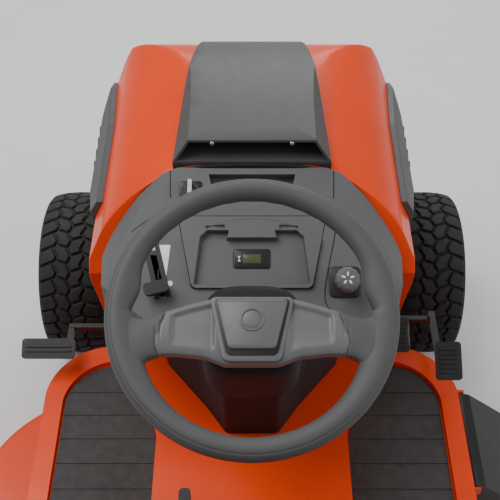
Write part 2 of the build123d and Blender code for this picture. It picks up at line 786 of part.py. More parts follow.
horn_radius = 19.5
with BuildPart() as transaxle_case:
    with BuildSketch(Plane.XY.offset(182)):
        with Locations((0, -548)):
            RectangleRounded(196, 190, 30)
    extrude(amount=112)
    fillet(transaxle_case.edges().group_by(Axis.Z)[0], 18)
    for hand in (-1, 1):
        with BuildSketch(side(hand * 96)):
            with Locations((rear_axle_y, rear_tyre_radius)):
                Circle(horn_radius)
        extrude(amount=hand * 154)
        # saddle block between the horn and its rail
        with Locations((hand * 130, rear_axle_y, rail_bottom_z - 7)):
            Box(30, 46, 14)
        with BuildSketch(side(hand * 92)):
            with Locations((rear_axle_y, rear_tyre_radius)):
                Circle(rear_shaft_radius + fit)
        extrude(amount=hand * 170, mode=Mode.SUBTRACT)
    # input shaft, up through the case's lid
    with BuildSketch(Plane.XY.offset(290)):
        with Locations((0, transaxle_pulley_y)):
            Circle(11)
    extrude(amount=34)
save(transaxle_case, "transaxle_case")

transaxle_pulley_radius = 66
with BuildPart() as transaxle_pulley:
    input_plane = Plane(origin=(0, transaxle_pulley_y, drive_belt_z), x_dir=(1, 0, 0), z_dir=(0, -1, 0))
    with BuildSketch(input_plane):
        with BuildLine():
            Polyline((11 + fit, -11), (transaxle_pulley_radius, -11), (transaxle_pulley_radius, -8),
                     (transaxle_pulley_radius - belt_depth, -belt_width / 2 - 0.6),
                     (transaxle_pulley_radius - belt_depth, belt_width / 2 + 0.6),
                     (transaxle_pulley_radius, 8), (transaxle_pulley_radius, 11), (11 + fit, 11), close=True)
        make_face()
    revolve(axis=Axis(input_plane.origin, (0, 0, 1)))
save(transaxle_pulley, "transaxle_pulley")


def belt_loop(pulleys):
    """A belt's face round several pulleys, each (x, y, radius of its groove's floor)."""
    for grow, mode in ((belt_depth - 1 + seat_gap, Mode.ADD), (seat_gap, Mode.SUBTRACT)):
        outline = Sketch() + [Pos(x, y) * Circle(radius + grow, mode=Mode.PRIVATE) for x, y, radius in pulleys]
        add(make_hull(outline.edges(), mode=Mode.PRIVATE), mode=mode)


with BuildPart() as drive_belt:
    with BuildSketch(Plane.XY.offset(drive_belt_z - belt_width / 2)):
        belt_loop([(0, crank_y, drive_pulley_radius - belt_depth),
                   (0, transaxle_pulley_y, transaxle_pulley_radius - belt_depth)])
    extrude(amount=belt_width)
save(drive_belt, "drive_belt")

spindle_xs = [deck_x - spindle_spread / 2, deck_x + spindle_spread / 2]
with BuildPart() as mower_belt:
    with BuildSketch(Plane.XY.offset(mower_belt_z - belt_width / 2)):
        belt_loop([(0, crank_y, mower_pulley_radius - belt_depth)]
                  + [(x, deck_y, deck_pulley_radius - belt_depth) for x in spindle_xs])
    extrude(amount=belt_width)
save(mower_belt, "mower_belt")

# =================================================================================================
# Mower deck
# =================================================================================================
chute_front_y = deck_y + deck_swing_radius + 6
chute_rear_y = deck_y + 20
deck_right_x = spindle_xs[1] + deck_swing_radius
hinge_x = deck_right_x + 10
hinge_z = deck_top_z + 6


def deck_plan(inset):
    """The deck's outline seen from above, drawn in by inset: two blade circles and a square front right."""
    with Locations((deck_x, deck_y)):
        SlotCenterToCenter(spindle_spread, 2 * (deck_swing_radius - inset))
    corner_x = (spindle_xs[1] + deck_right_x) / 2
    corner_y = (deck_y + chute_front_y) / 2
    with Locations((corner_x, corner_y)):
        Rectangle(deck_right_x - spindle_xs[1] - 2 * inset, chute_front_y - deck_y - 2 * inset)


with BuildPart() as deck_shell:
    with BuildSketch(Plane.XY.offset(deck_bottom_z)):
        deck_plan(0)
    extrude(amount=deck_top_z - deck_bottom_z)
    fillet(deck_shell.faces().sort_by(Axis.Z)[-1].edges(), 10)
    with BuildSketch(Plane.XY.offset(deck_bottom_z)):
        deck_plan(deck_wall)
    extrude(amount=deck_top_z - deck_wall - deck_bottom_z, mode=Mode.SUBTRACT)
    # discharge opening through the right-hand skirt
    with Locations((deck_right_x, (chute_rear_y + chute_front_y - 20) / 2, deck_bottom_z)):
        Box(80, chute_front_y - 20 - chute_rear_y, deck_top_z - 14 - deck_bottom_z,
            align=(Align.CENTER, Align.CENTER, Align.MIN), mode=Mode.SUBTRACT)
    for x in spindle_xs:
        with Locations((x, deck_y, deck_top_z)):
            Hole(36, depth=20)
    # bearing housings bolted through the top
    for x in spindle_xs:
        with BuildSketch(Plane.XY.offset(deck_top_z - 48)):
            with Locations((x, deck_y)):
                Circle(35.5)
        extrude(amount=74)
        with BuildSketch(Plane.XY.offset(deck_top_z)):
            with Locations((x, deck_y)):
                Circle(50)
        extrude(amount=6)
        with Locations((x, deck_y, deck_top_z + 26)):
            Hole(spindle_radius + fit, depth=90)
    # hinge pin of the deflector, between two lugs over the discharge opening
    for lug_y in (chute_rear_y - 4, chute_front_y - 8):
        with BuildSketch(cross(lug_y)):
            with BuildLine():
                Polyline((deck_right_x - 3, deck_top_z - 22), (hinge_x + 8, hinge_z - 8),
                         (hinge_x + 8, hinge_z + 8), (hinge_x - 8, hinge_z + 8), (deck_right_x - 12, deck_top_z - 2),
                         (deck_right_x - 12, deck_top_z - 22), close=True)
            make_face()
        extrude(amount=-6)
    with BuildSketch(cross(chute_rear_y)):
        with Locations((hinge_x, hinge_z)):
            Circle(4)
    extrude(amount=chute_rear_y - chute_front_y + 6)
    # hanger straps with the slots that let the deck rise
    for hand in (-1, 1):
        for strap_y in strap_ys:
            with BuildSketch(side(hand * (rail_outer_x + 3))):
                with Locations((strap_y, deck_top_z + 95)):
                    RectangleRounded(30, 190, 6)
                slot_middle_z = rail_bottom_z + rail_height / 2 - deck_lift / 2
                with Locations((strap_y, slot_middle_z)):
                    SlotOverall(deck_lift + 2 * stud_radius + 3, 2 * stud_radius + 1, rotation=90,
                                mode=Mode.SUBTRACT)
            extrude(amount=hand * 4)
save(deck_shell, "deck_shell")

for x, word in zip(spindle_xs, ("left", "right")):
    with BuildPart() as blade:
        with BuildSketch(Plane.XY.offset(blade_z)):
            with Locations((x, deck_y)):
                Rectangle(blade_width, 2 * blade_radius * 0.96)
                Circle(blade_radius, mode=Mode.INTERSECT)
        extrude(amount=4)
        with BuildSketch(Plane.XY.offset(blade_z - 12)):
            with Locations((x, deck_y)):
                Circle(22)
        extrude(amount=deck_top_z - 50 - blade_z + 12)
        with BuildSketch(Plane.XY.offset(blade_z)):
            with Locations((x, deck_y)):
                Circle(spindle_radius)
        extrude(amount=mower_belt_z + 14 - blade_z)
        blade_pulley = Plane(origin=(x, deck_y, mower_belt_z), x_dir=(1, 0, 0), z_dir=(0, -1, 0))
        with BuildSketch(blade_pulley):
            with BuildLine():
                Polyline((spindle_radius - 1, -11), (deck_pulley_radius, -11), (deck_pulley_radius, -8),
                         (deck_pulley_radius - belt_depth, -belt_width / 2 - 0.6),
                         (deck_pulley_radius - belt_depth, belt_width / 2 + 0.6), (deck_pulley_radius, 8),
                         (deck_pulley_radius, 11), (spindle_radius - 1, 11), close=True)
            make_face()
        revolve(axis=Axis(blade_pulley.origin, (0, 0, 1)))
    save(blade, f"blade_{word}")

deflector_reach = 128
deflector_rear_y = chute_rear_y + 4
deflector_front_y = chute_front_y - 10
with BuildPart() as deck_deflector:
    # barrel round the hinge pin, and the flap sloping down from it between two end walls
    with BuildSketch(cross(deflector_rear_y)):
        with Locations((hinge_x, hinge_z)):
            Circle(8)
        with BuildLine():
            Polyline((hinge_x, hinge_z + 8), (deck_right_x + 30, hinge_z + 2),
                     (deck_right_x + deflector_reach, 70), (deck_right_x + deflector_reach - 4, 66),
                     (deck_right_x + 28, hinge_z - 4), (hinge_x, hinge_z + 3), close=True)
        make_face()
        with Locations((hinge_x, hinge_z)):
            Circle(4 + fit, mode=Mode.SUBTRACT)
    extrude(amount=deflector_rear_y - deflector_front_y)
    for end_y in (deflector_rear_y, deflector_front_y - 4):
        with BuildSketch(cross(end_y)):
            with BuildLine():
                Polyline((hinge_x + 6, hinge_z + 2), (deck_right_x + 30, hinge_z + 1),
                         (deck_right_x + deflector_reach - 2, 70), (deck_right_x + 24, 70),
                         (deck_right_x + 6, 110), (hinge_x + 6, hinge_z - 7), close=True)
            make_face()
        extrude(amount=-4)
save(deck_deflector, "deck_deflector")

# =================================================================================================
# Hood
# =================================================================================================
hood_shoulder_z = 705
hood_shoulder_x = 258


def hood_form(inset, low):
    """The hood's outer form, drawn in by inset and standing on z = low: three outlines that cross."""
    with BuildPart() as form:
        with BuildSketch(side(-hood_half_width - 20)):
            with BuildLine():
                Polyline((345 + inset, low), (hood_rear_tip_y + 1.2 * inset, 640),
                         (hood_rear_top_y + 0.4 * inset, hood_top_z - inset))
                Spline((hood_rear_top_y + 0.4 * inset, hood_top_z - inset), (620, 800 - inset),
                       (780, 762 - inset), (846 - inset, 690 - 0.6 * inset))
                Polyline((846 - inset, 690 - 0.6 * inset), (hood_front_y - inset, 640),
                         (hood_front_y - inset, 480), (hood_front_y - 14 - inset, low), (345 + inset, low))
            make_face()
        extrude(amount=2 * hood_half_width + 40)
        with BuildSketch(cross(hood_rear_tip_y - 40)):
            with BuildLine():
                half = hood_half_width - inset
                right = Polyline((half - 4, low), (half, 600), (half - 3, 662),
                                 (hood_shoulder_x - 0.6 * inset, hood_shoulder_z - 0.7 * inset))
                crown = Spline(right @ 1, (205 - 0.4 * inset, 757 - 0.8 * inset),
                               (124 - 0.2 * inset, 795 - inset), (0, 808 - inset),
                               (0.2 * inset - 124, 795 - inset), (0.4 * inset - 205, 757 - 0.8 * inset),
                               (0.6 * inset - hood_shoulder_x, hood_shoulder_z - 0.7 * inset))
                Polyline(crown @ 1, (3 - half, 662), (-half, 600), (4 - half, low), (half - 4, low))
            make_face()
        extrude(amount=-700, mode=Mode.INTERSECT)
        with BuildSketch(Plane.XY.offset(low - 5)):
            with BuildLine():
                front = hood_front_y - inset
                nose = half - 44
                Polyline((half, hood_rear_tip_y - 40), (half, 700))
                ThreePointArc((half, 700), (half - 14, 790), (nose, 836 - inset))
                ThreePointArc((nose, 836 - inset), (0, front), (-nose, 836 - inset))
                ThreePointArc((-nose, 836 - inset), (14 - half, 790), (-half, 700))
                Polyline((-half, 700), (-half, hood_rear_tip_y - 40), (half, hood_rear_tip_y - 40))
            make_face()
        extrude(amount=420, mode=Mode.INTERSECT)
    return form.part


hood_outer = hood_form(0, hood_bottom_z)
hood_inner = hood_form(hood_wall, hood_bottom_z - 10)
grille_half = 196
grille_bottom_z = 452
grille_top_z = 626


def dash_outline(grow):
    """The dash's plan outline, let out by grow: a rounded front that the hood's rear edge follows."""
    with BuildLine() as outline:
        front = 384 + grow
        half = 250 + grow
        nose = Line((-124, front), (124, front))
        right = Spline(nose @ 1, (182 + grow, 358 + grow), (222 + grow, 326 + grow), (half, 268))
        tail = Polyline(right @ 1, (half - 6, 205), (150 + grow, 140 - grow), (-150 - grow, 140 - grow),
                        (6 - half, 205), (-half, 268))
        Spline(tail @ 1, (-222 - grow, 326 + grow), (-182 - grow, 358 + grow), nose @ 0)
    make_face(outline.edges())


with BuildPart() as hood_shell:
    add(hood_outer)
    add(hood_inner, mode=Mode.SUBTRACT)
    # the rear is open, cut back along the dash's outline with a seam between them
    with BuildSketch(Plane.XY.offset(hood_bottom_z - 10)):
        dash_outline(4)
    extrude(amount=420, mode=Mode.SUBTRACT)
    # opening for the grille and the lamps
    with Locations((0, hood_front_y, (grille_bottom_z + grille_top_z) / 2)):
        Box(2 * grille_half, 120, grille_top_z - grille_bottom_z, mode=Mode.SUBTRACT)
    # hinge arms down to the pivot pin
    for hand in (-1, 1):
        with BuildSketch(side(hand * 108)):
            with BuildLine():
                Polyline((824, 396), (850, 396), (850, 450), (824, 450), close=True)
            make_face()
            with Locations((hood_pivot_y, hood_pivot_z)):
                Circle(6 + fit, mode=Mode.SUBTRACT)
        extrude(amount=hand * 6)
save(hood_shell, "hood_shell")

cowl_rear_y = 388.5
cowl_front_y = 790
with BuildPart() as hood_cowl:
    with BuildSketch(side(-150)):
        with BuildLine():
            rise = Polyline((cowl_rear_y, 780), (cowl_rear_y, 806), (cowl_rear_y + 12, 846))
            spine = Spline(rise @ 1, (560, 842), (700, 812), (cowl_front_y, 762))
            Polyline(spine @ 1, (cowl_front_y, 745), (cowl_rear_y, 745), rise @ 0)
        make_face()
    extrude(amount=300)
    with BuildSketch(Plane.XY.offset(740)):
        with BuildLine():
            Polyline((-133, cowl_rear_y), (133, cowl_rear_y), (120, 560), (96, cowl_front_y),
                     (-96, cowl_front_y), (-120, 560), close=True)
        make_face()
    extrude(amount=120, mode=Mode.INTERSECT)
    with BuildSketch(cross(cowl_rear_y - 5)):
        with BuildLine():
            Polyline((-140, 740), (-134, 806), (-106, 846), (-60, 850), (60, 850), (106, 846), (134, 806),
                     (140, 740), close=True)
        make_face()
    extrude(amount=-430, mode=Mode.INTERSECT)
    # the intake slot that faces the operator
    with BuildSketch(cross(cowl_rear_y - 5)):
        with BuildLine():
            Polyline((-127, 809), (-104, 843), (104, 843), (127, 809), close=True)
        make_face()
    extrude(amount=-140, taper=4, mode=Mode.SUBTRACT)
    add(hood_outer.moved(Location((0, 0, seat_gap))), mode=Mode.SUBTRACT)
save(hood_cowl, "hood_cowl")

panel_rear_y = 400
panel_front_y = 800
with BuildPart() as hood_side_panels:
    with BuildSketch(side(-320)):
        with BuildLine():
            Polyline((panel_rear_y, 640), (panel_rear_y + 40, 560), (panel_rear_y + 60, 470),
                     (panel_front_y - 60, 456), (panel_front_y, 560), (panel_front_y - 20, 668),
                     (620, 692), (panel_rear_y + 10, 692), close=True)
        make_face()
    extrude(amount=640)
    with BuildSketch(Plane.XY.offset(440)):
        for hand in (-1, 1):
            with BuildLine():
                inner = hand * (hood_half_width - 30)
                outer = Spline((hand * 288, panel_rear_y - 2), (hand * 306, 520), (hand * 306, 660),
                               (hand * 278, panel_front_y + 2))
                Polyline(outer @ 1, (inner, panel_front_y + 2), (inner, panel_rear_y - 2), outer @ 0)
            make_face()
    extrude(amount=270, mode=Mode.INTERSECT)
    with BuildSketch(cross(panel_rear_y - 5)):
        with BuildLine():
            Polyline((-298, 450), (-308, 600), (-302, 650), (-276, 694), (276, 694), (302, 650), (308, 600),
                     (298, 450), close=True)
        make_face()
    extrude(amount=-420, mode=Mode.INTERSECT)
    add(hood_form(-seat_gap, hood_bottom_z), mode=Mode.SUBTRACT)
save(hood_side_panels, "hood_side_panels")

lens_inner = 104
with BuildPart() as front_grille:
    with Locations((0, 850, (grille_bottom_z + grille_top_z) / 2)):
        Box(2 * grille_half - 2 * seat_gap, 60, grille_top_z - grille_bottom_z - 2 * seat_gap)
    add(hood_form(0, hood_bottom_z), mode=Mode.INTERSECT)
    with Locations((0, 808, (grille_bottom_z + grille_top_z) / 2)):
        Box(2 * grille_half - 24, 80, grille_top_z - grille_bottom_z - 24, mode=Mode.SUBTRACT)
    # five rows of cooling slots and a pocket at each end for a lamp
    for row in range(5):
        with Locations((0, 850, grille_bottom_z + 26 + 28 * row)):
            Box(2 * lens_inner - 20, 80, 14, mode=Mode.SUBTRACT)
    for hand in (-1, 1):
        with Locations((hand * (lens_inner + grille_half - 6) / 2, 850, grille_bottom_z + 110)):
            Box(grille_half - lens_inner - 6, 80, 84, mode=Mode.SUBTRACT)
save(front_grille, "front_grille")

with BuildPart() as headlight_lenses:
    for hand in (-1, 1):
        with Locations((hand * (lens_inner + grille_half - 6) / 2, 835, grille_bottom_z + 110)):
            Box(grille_half - lens_inner - 6 - 2 * seat_gap, 60, 84 - 2 * seat_gap)
    add(hood_form(3, hood_bottom_z), mode=Mode.INTERSECT)
save(headlight_lenses, "headlight_lenses")

# =================================================================================================
# Dash, pedestal and controls
# =================================================================================================
dash_top_z = 800
dash_fall = tan(radians(dash_slope))


def dash_face_z(y):
    """Height of the sloping dash face at y."""
    return dash_top_z - (384 - y) * dash_fall


def dash_plane(x, y, above=0):
    """A plane lying on the dash face at x and y, its normal pointing up and back at the operator."""
    face = Plane(origin=(x, y, dash_face_z(y)), x_dir=(1, 0, 0),
                 z_dir=(0, -sin(radians(dash_slope)), cos(radians(dash_slope))))
    return face.offset(above)


panel_y = 238
panel_half_top = 123
panel_half_bottom = 98
panel_low = -44
panel_high = 80
column_hole = 24
cowl_radius = 62


def dash_form(inset, low):
    """The dash's form drawn in by inset, standing on z = low."""
    with BuildPart() as form:
        with BuildSketch(Plane.XY.offset(low)):
            dash_outline(-inset)
        extrude(amount=300)
        with BuildSketch(side(-300)):
            with BuildLine():
                Polyline((400, low), (400, dash_face_z(400) - inset), (384, dash_face_z(384) - inset),
                         (150, dash_face_z(150) - inset), (130, low), close=True)
            make_face()
        extrude(amount=600, mode=Mode.INTERSECT)
        # the corners fall away towards the hood
        with BuildSketch(cross(100)):
            with BuildLine():
                Polyline((-262, low), (-262, 690 - inset), (-190, 764 - inset), (-128, 812 - inset),
                         (128, 812 - inset), (190, 764 - inset), (262, 690 - inset), (262, low), close=True)
            make_face()
        extrude(amount=-320, mode=Mode.INTERSECT)
    return form.part


lever_pivot_below = 60
throttle_plane = dash_plane(-157, 236)
slot_turn = 104 - 90  # degrees that the slot runs off the fore-and-aft line
slot_plane = Plane(origin=throttle_plane.origin, z_dir=throttle_plane.z_dir,
                   x_dir=throttle_plane.x_dir.rotate(Axis((0, 0, 0), throttle_plane.z_dir), slot_turn))
lever_side = Plane(origin=slot_plane.origin, x_dir=slot_plane.y_dir, z_dir=slot_plane.x_dir)
with BuildPart() as dash_console:
    add(dash_form(0, dash_bottom_z))
    add(dash_form(dash_wall, dash_bottom_z - 5), mode=Mode.SUBTRACT)
    # opening for the centre panel
    with BuildSketch(dash_plane(0, panel_y, -40)):
        with BuildLine():
            Polyline((-panel_half_top, panel_high), (panel_half_top, panel_high),
                     (panel_half_bottom, panel_low), (-panel_half_bottom, panel_low), close=True)
        make_face()
        fillet(vertices(), 8)
    extrude(amount=80, mode=Mode.SUBTRACT)
    # open tray in front of the steering wheel
    with BuildSketch(dash_plane(0, 352, -20)):
        with BuildLine():
            Polyline((-72, 24), (72, 24), (62, -24), (-62, -24), close=True)
        make_face()
    extrude(amount=60, mode=Mode.SUBTRACT)
    with BuildSketch(dash_plane(0, 352, -24)):
        with BuildLine():
            Polyline((-76, 27), (76, 27), (66, -27), (-66, -27), close=True)
        make_face()
    extrude(amount=4)
    with BuildSketch(dash_plane(0, 352, -20)):
        with BuildLine():
            Polyline((-76, 27), (76, 27), (66, -27), (-66, -27), close=True)
        make_face()
        with BuildLine():
            Polyline((-72, 24), (72, 24), (62, -24), (-62, -24), close=True)
        make_face(mode=Mode.SUBTRACT)
    extrude(amount=18)
    # throttle slot, key hole and the blade switch's hole
    with BuildSketch(dash_plane(-157, 236, -30)):
        SlotOverall(112, 10, rotation=104)
    extrude(amount=60, mode=Mode.SUBTRACT)
    with BuildSketch(dash_plane(-102, 348, -30)):
        Circle(10)
    extrude(amount=60, mode=Mode.SUBTRACT)
    with BuildSketch(dash_plane(150, 205, -30)):
        Circle(9 + fit)
    extrude(amount=60, mode=Mode.SUBTRACT)
    # bracket and pin under the face that the throttle lever turns on
    with BuildSketch(lever_side.offset(5.5)):
        with BuildLine():
            Polyline((-10, -lever_pivot_below - 8), (10, -lever_pivot_below - 8), (16, -2), (-16, -2),
                     close=True)
        make_face()
    extrude(amount=3)
    with BuildSketch(lever_side.offset(-3)):
        with Locations((0, -lever_pivot_below)):
            Circle(3)
    extrude(amount=9)
    # the column comes out through the dash's foot
    with BuildSketch(column.offset(-260)):
        Circle(column_hole)
    extrude(amount=240, mode=Mode.SUBTRACT)
save(dash_console, "dash_console")

panel_gap = 0.5
recess_deep = 14
with BuildPart() as dash_center_panel:
    with BuildSketch(dash_plane(0, panel_y, -dash_wall - 16)):
        with BuildLine():
            Polyline((panel_gap - panel_half_top, panel_high - panel_gap),
                     (panel_half_top - panel_gap, panel_high - panel_gap),
                     (panel_half_bottom - panel_gap, panel_low + panel_gap),
                     (panel_gap - panel_half_bottom, panel_low + panel_gap), close=True)
        make_face()
        fillet(vertices(), 7.5)
    extrude(amount=dash_wall + 17)
    with BuildSketch(dash_plane(0, panel_y, 1 - recess_deep)):
        with BuildLine():
            Polyline((-84, 50), (84, 50), (90, -34), (-90, -34), close=True)
        make_face()
        fillet(vertices(), 6)
    extrude(amount=40, mode=Mode.SUBTRACT)
save(dash_center_panel, "dash_center_panel")

meter_wide = 62
meter_high = 34
meter_y = panel_y + 7
with BuildPart() as hour_meter:
    with BuildSketch(dash_plane(0, meter_y, 1 - recess_deep)):
        RectangleRounded(meter_wide, meter_high, 7)
    extrude(amount=9)
    with BuildSketch(dash_plane(0, meter_y, 1 - recess_deep + 7)):
        Rectangle(30, 14)
    extrude(amount=5, mode=Mode.SUBTRACT)
save(hour_meter, "hour_meter")

with BuildPart() as ignition_switch:
    with BuildSketch(dash_plane(-102, 348, -28)):
        Circle(10 - seat_gap)
    extrude(amount=30)
    with BuildSketch(dash_plane(-102, 348, seat_gap)):
        Circle(15)
    extrude(amount=3)
    with BuildSketch(dash_plane(-102, 348, -10)):
        Circle(4 + fit)
    extrude(amount=20, mode=Mode.SUBTRACT)
save(ignition_switch, "ignition_switch")

with BuildPart() as ignition_key:
    with BuildSketch(dash_plane(-102, 348, -8)):
        Circle(4)
    extrude(amount=14)
    with BuildSketch(dash_plane(-102, 348, 5)):
        RectangleRounded(7, 24, 3)
    extrude(amount=20)
save(ignition_key, "ignition_key")

with BuildPart() as throttle_lever:
    # flat blade through the slot, resting at the slow end, with a broad grip
    with BuildSketch(lever_side.offset(-1.5)):
        with BuildLine():
            Polyline((-10, -lever_pivot_below - 10), (10, -lever_pivot_below - 10), (-20, 0), (-34, 24),
                     (-50, 24), (-30, -6), close=True)
        make_face()
        with Locations((0, -lever_pivot_below)):
            Circle(3 + fit, mode=Mode.SUBTRACT)
    extrude(amount=3)
    with BuildSketch(slot_plane.offset(16)):
        with Locations((-6, -44)):
            RectangleRounded(40, 20, 7)
    extrude(amount=14)
save(throttle_lever, "throttle_lever")

knob_x = 150
knob_y = 205
knob_stem_radius = 9
with BuildPart() as blade_switch_knob:
    with BuildSketch(dash_plane(knob_x, knob_y, -14)):
        Circle(knob_stem_radius)
    extrude(amount=52)
    with BuildSketch(dash_plane(knob_x, knob_y, 36)):
        Circle(17)
    extrude(amount=14)
    chamfer(blade_switch_knob.faces().sort_by(Axis.Z)[-1].edges(), 2.5)
save(blade_switch_knob, "blade_switch_knob")

pedestal_bottom_z = tunnel_z + seat_gap
with BuildPart() as dash_pedestal:
    with BuildSketch(Plane.XY.offset(pedestal_bottom_z)):
        with BuildLine():
            Polyline((-160, 330), (160, 330), (160, 262), (84, 168), (46, 112), (-46, 112), (-84, 168),
                     (-160, 262), close=True)
        make_face()
        fillet(vertices(), 14)
    with BuildSketch(Plane.XY.offset(dash_bottom_z - seat_gap)):
        with BuildLine():
            Polyline((-200, 330), (200, 330), (190, 250), (96, 150), (44, 62), (-44, 62), (-96, 150),
                     (-190, 250), close=True)
        make_face()
        fillet(vertices(), 14)
    loft()
    with BuildSketch(Plane.XY.offset(pedestal_bottom_z - 5)):
        with BuildLine():
            Polyline((-154, 324), (154, 324), (154, 264), (80, 172), (43, 118), (-43, 118), (-80, 172),
                     (-154, 264), close=True)
        make_face()
        fillet(vertices(), 10)
    with BuildSketch(Plane.XY.offset(dash_bottom_z - 5)):
        with BuildLine():
            Polyline((-194, 324), (194, 324), (184, 253), (92, 154), (41, 68), (-41, 68), (-92, 154),
                     (-184, 253), close=True)
        make_face()
        fillet(vertices(), 10)
    loft(mode=Mode.SUBTRACT)
    # shelf inside the pedestal's top that holds the tube round the column's shaft
    with BuildSketch(Plane.XY.offset(616)):
        with BuildLine():
            Polyline((-188, 327), (188, 327), (179, 254), (90, 156), (42, 74), (-42, 74), (-90, 156),
                     (-179, 254), close=True)
        make_face()
        fillet(vertices(), 12)
    extrude(amount=6)
    with BuildSketch(column.offset(-380)):
        Circle(column_hole - 4)
    extrude(amount=240, mode=Mode.SUBTRACT)
    with BuildSketch(column.offset(-400)):
        Circle(column_hole - seat_gap)
        Circle(shaft_radius + fit, mode=Mode.SUBTRACT)
    extrude(amount=400 + hub_bottom - 3)
    # cowl round the tube's upper end, under the steering wheel's hub
    with BuildSketch(column.offset(-190)):
        Circle(cowl_radius)
        Circle(shaft_radius + fit, mode=Mode.SUBTRACT)
    extrude(amount=190 + hub_bottom - 10, taper=2)
save(dash_pedestal, "dash_pedestal")

# =================================================================================================
# Fender with footrests, seat
# =================================================================================================


def foot_plan(inset, rear, mode=Mode.ADD):
    """Both footboards seen from above, drawn in by inset, from rear short of the rise forwards."""
    outer = foot_half_width - inset
    front = foot_front_y - inset
    corner = foot_corner - 0.5 * inset
    with BuildLine() as outline:
        left = Line((-outer, foot_rear_y + rear), (-outer, front - corner))
        left_corner = ThreePointArc(left @ 1, (-outer + corner * 0.36, front - corner * 0.3),
                                    (-outer + corner + 16, front))
        nose = Line(left_corner @ 1, (outer - corner - 16, front))
        right_corner = ThreePointArc(nose @ 1, (outer - corner * 0.36, front - corner * 0.3),
                                     (outer, front - corner))
        Polyline(right_corner @ 1, (outer, foot_rear_y + rear), (-outer, foot_rear_y + rear))
    make_face(outline.edges(), mode=mode)


def tunnel_plan(inset, open_ends):
    """The tunnel between the footboards seen from above, drawn in by inset and let out at its ends."""
    wide = tunnel_front_half_width - inset
    slim = tunnel_half_width - inset
    rear = foot_rear_y - open_ends
    front = foot_front_y + open_ends
    with BuildLine() as outline:
        Polyline((-slim, rear), (-slim, 150), (-wide, 262), (-wide, front), (wide, front), (wide, 262),
                 (slim, 150), (slim, rear), close=True)
    make_face(outline.edges())


with BuildPart() as rear_fender:
    # the fender's deck with its turned-down skirt
    with BuildSketch(Plane.XY.offset(fender_z - fender_skirt)):
        with Locations((0, (fender_rear_y + foot_rear_y) / 2)):
            RectangleRounded(2 * fender_half_width, foot_rear_y - fender_rear_y, 70)
    extrude(amount=fender_skirt)
    fillet(rear_fender.faces().sort_by(Axis.Z)[-1].edges(), 8)
    with BuildSketch(Plane.XY.offset(fender_z - fender_skirt - 1)):
        with Locations((0, (fender_rear_y + foot_rear_y) / 2)):
            RectangleRounded(2 * (fender_half_width - sheet), foot_rear_y - fender_rear_y - 2 * sheet, 66)
    extrude(amount=fender_skirt - sheet + 1, mode=Mode.SUBTRACT)
    # footboards with a raised rim
    with BuildSketch(Plane.XY.offset(foot_z - sheet)):
        foot_plan(0, 0)
    extrude(amount=sheet)
    with BuildSketch(Plane.XY.offset(foot_z - sheet / 2)):
        foot_plan(0, 0)
        foot_plan(rim_wide, -1, mode=Mode.SUBTRACT)
    extrude(amount=rim_high + sheet / 2)
    # rise behind the feet up to the fender's front skirt
    with Locations((0, foot_rear_y - sheet / 2, (foot_z - sheet + fender_z - fender_skirt + 10) / 2)):
        Box(2 * (fender_half_width - 76), sheet, fender_z - fender_skirt + 10 - foot_z + sheet)
    # tunnel between the footboards, open at its front end and underneath
    with BuildSketch(Plane.XY.offset(foot_z - sheet)):
        tunnel_plan(0, 0)
    extrude(amount=tunnel_z - foot_z + sheet)
    with BuildSketch(Plane.XY.offset(foot_z - sheet - 1)):
        tunnel_plan(sheet, 20)
    extrude(amount=tunnel_z - foot_z + 1, mode=Mode.SUBTRACT)
    with Locations((filler_x, filler_y, fender_z)):
        Hole(filler_radius + 3, depth=20)
    # slot for the deck's lift lever
    with Locations((256, -370, fender_z)):
        Box(16, 130, 30, mode=Mode.SUBTRACT)
    # hole for the column's joint and slot for the cruise lever in the tunnel's roof
    with Locations((0, joint_y, tunnel_z + 10)):
        Hole(36, depth=20)
    with Locations((cruise_x, cruise_y, tunnel_z)):
        Box(12, 70, 30, mode=Mode.SUBTRACT)
    # bracket and pin that the cruise lever turns on
    with Locations((cruise_x - 9, cruise_y, (cruise_pivot_z - 8 + tunnel_z - 1) / 2)):
        Box(4, 22, tunnel_z - 1 - cruise_pivot_z + 8)
    with BuildSketch(side(cruise_x - 9)):
        with Locations((cruise_y, cruise_pivot_z)):
            Circle(4)
    extrude(amount=14)
    # brackets and pins that the seat pan tilts on
    for hand in (-1, 1):
        with BuildSketch(side(hand * 131)):
            with BuildLine():
                Polyline((seat_pivot_y - 14, fender_z - 1), (seat_pivot_y + 14, fender_z - 1),
                         (seat_pivot_y + 3, seat_pan_z - 2), (seat_pivot_y - 3, seat_pan_z - 2), close=True)
            make_face()
        extrude(amount=hand * 5)
        with BuildSketch(side(hand * 118)):
            with Locations((seat_pivot_y, seat_pan_z - 6)):
                Circle(4)
        extrude(amount=hand * 14)
    # brackets that carry the sheet on the rails
    for hand in (-1, 1):
        for bracket_y in (-250, 60):
            with Locations((hand * (rail_outer_x + tunnel_half_width - 2) / 2, bracket_y, 330)):
                Box(tunnel_half_width - 2 - rail_outer_x, 30, 30)
save(rear_fender, "rear_fender")

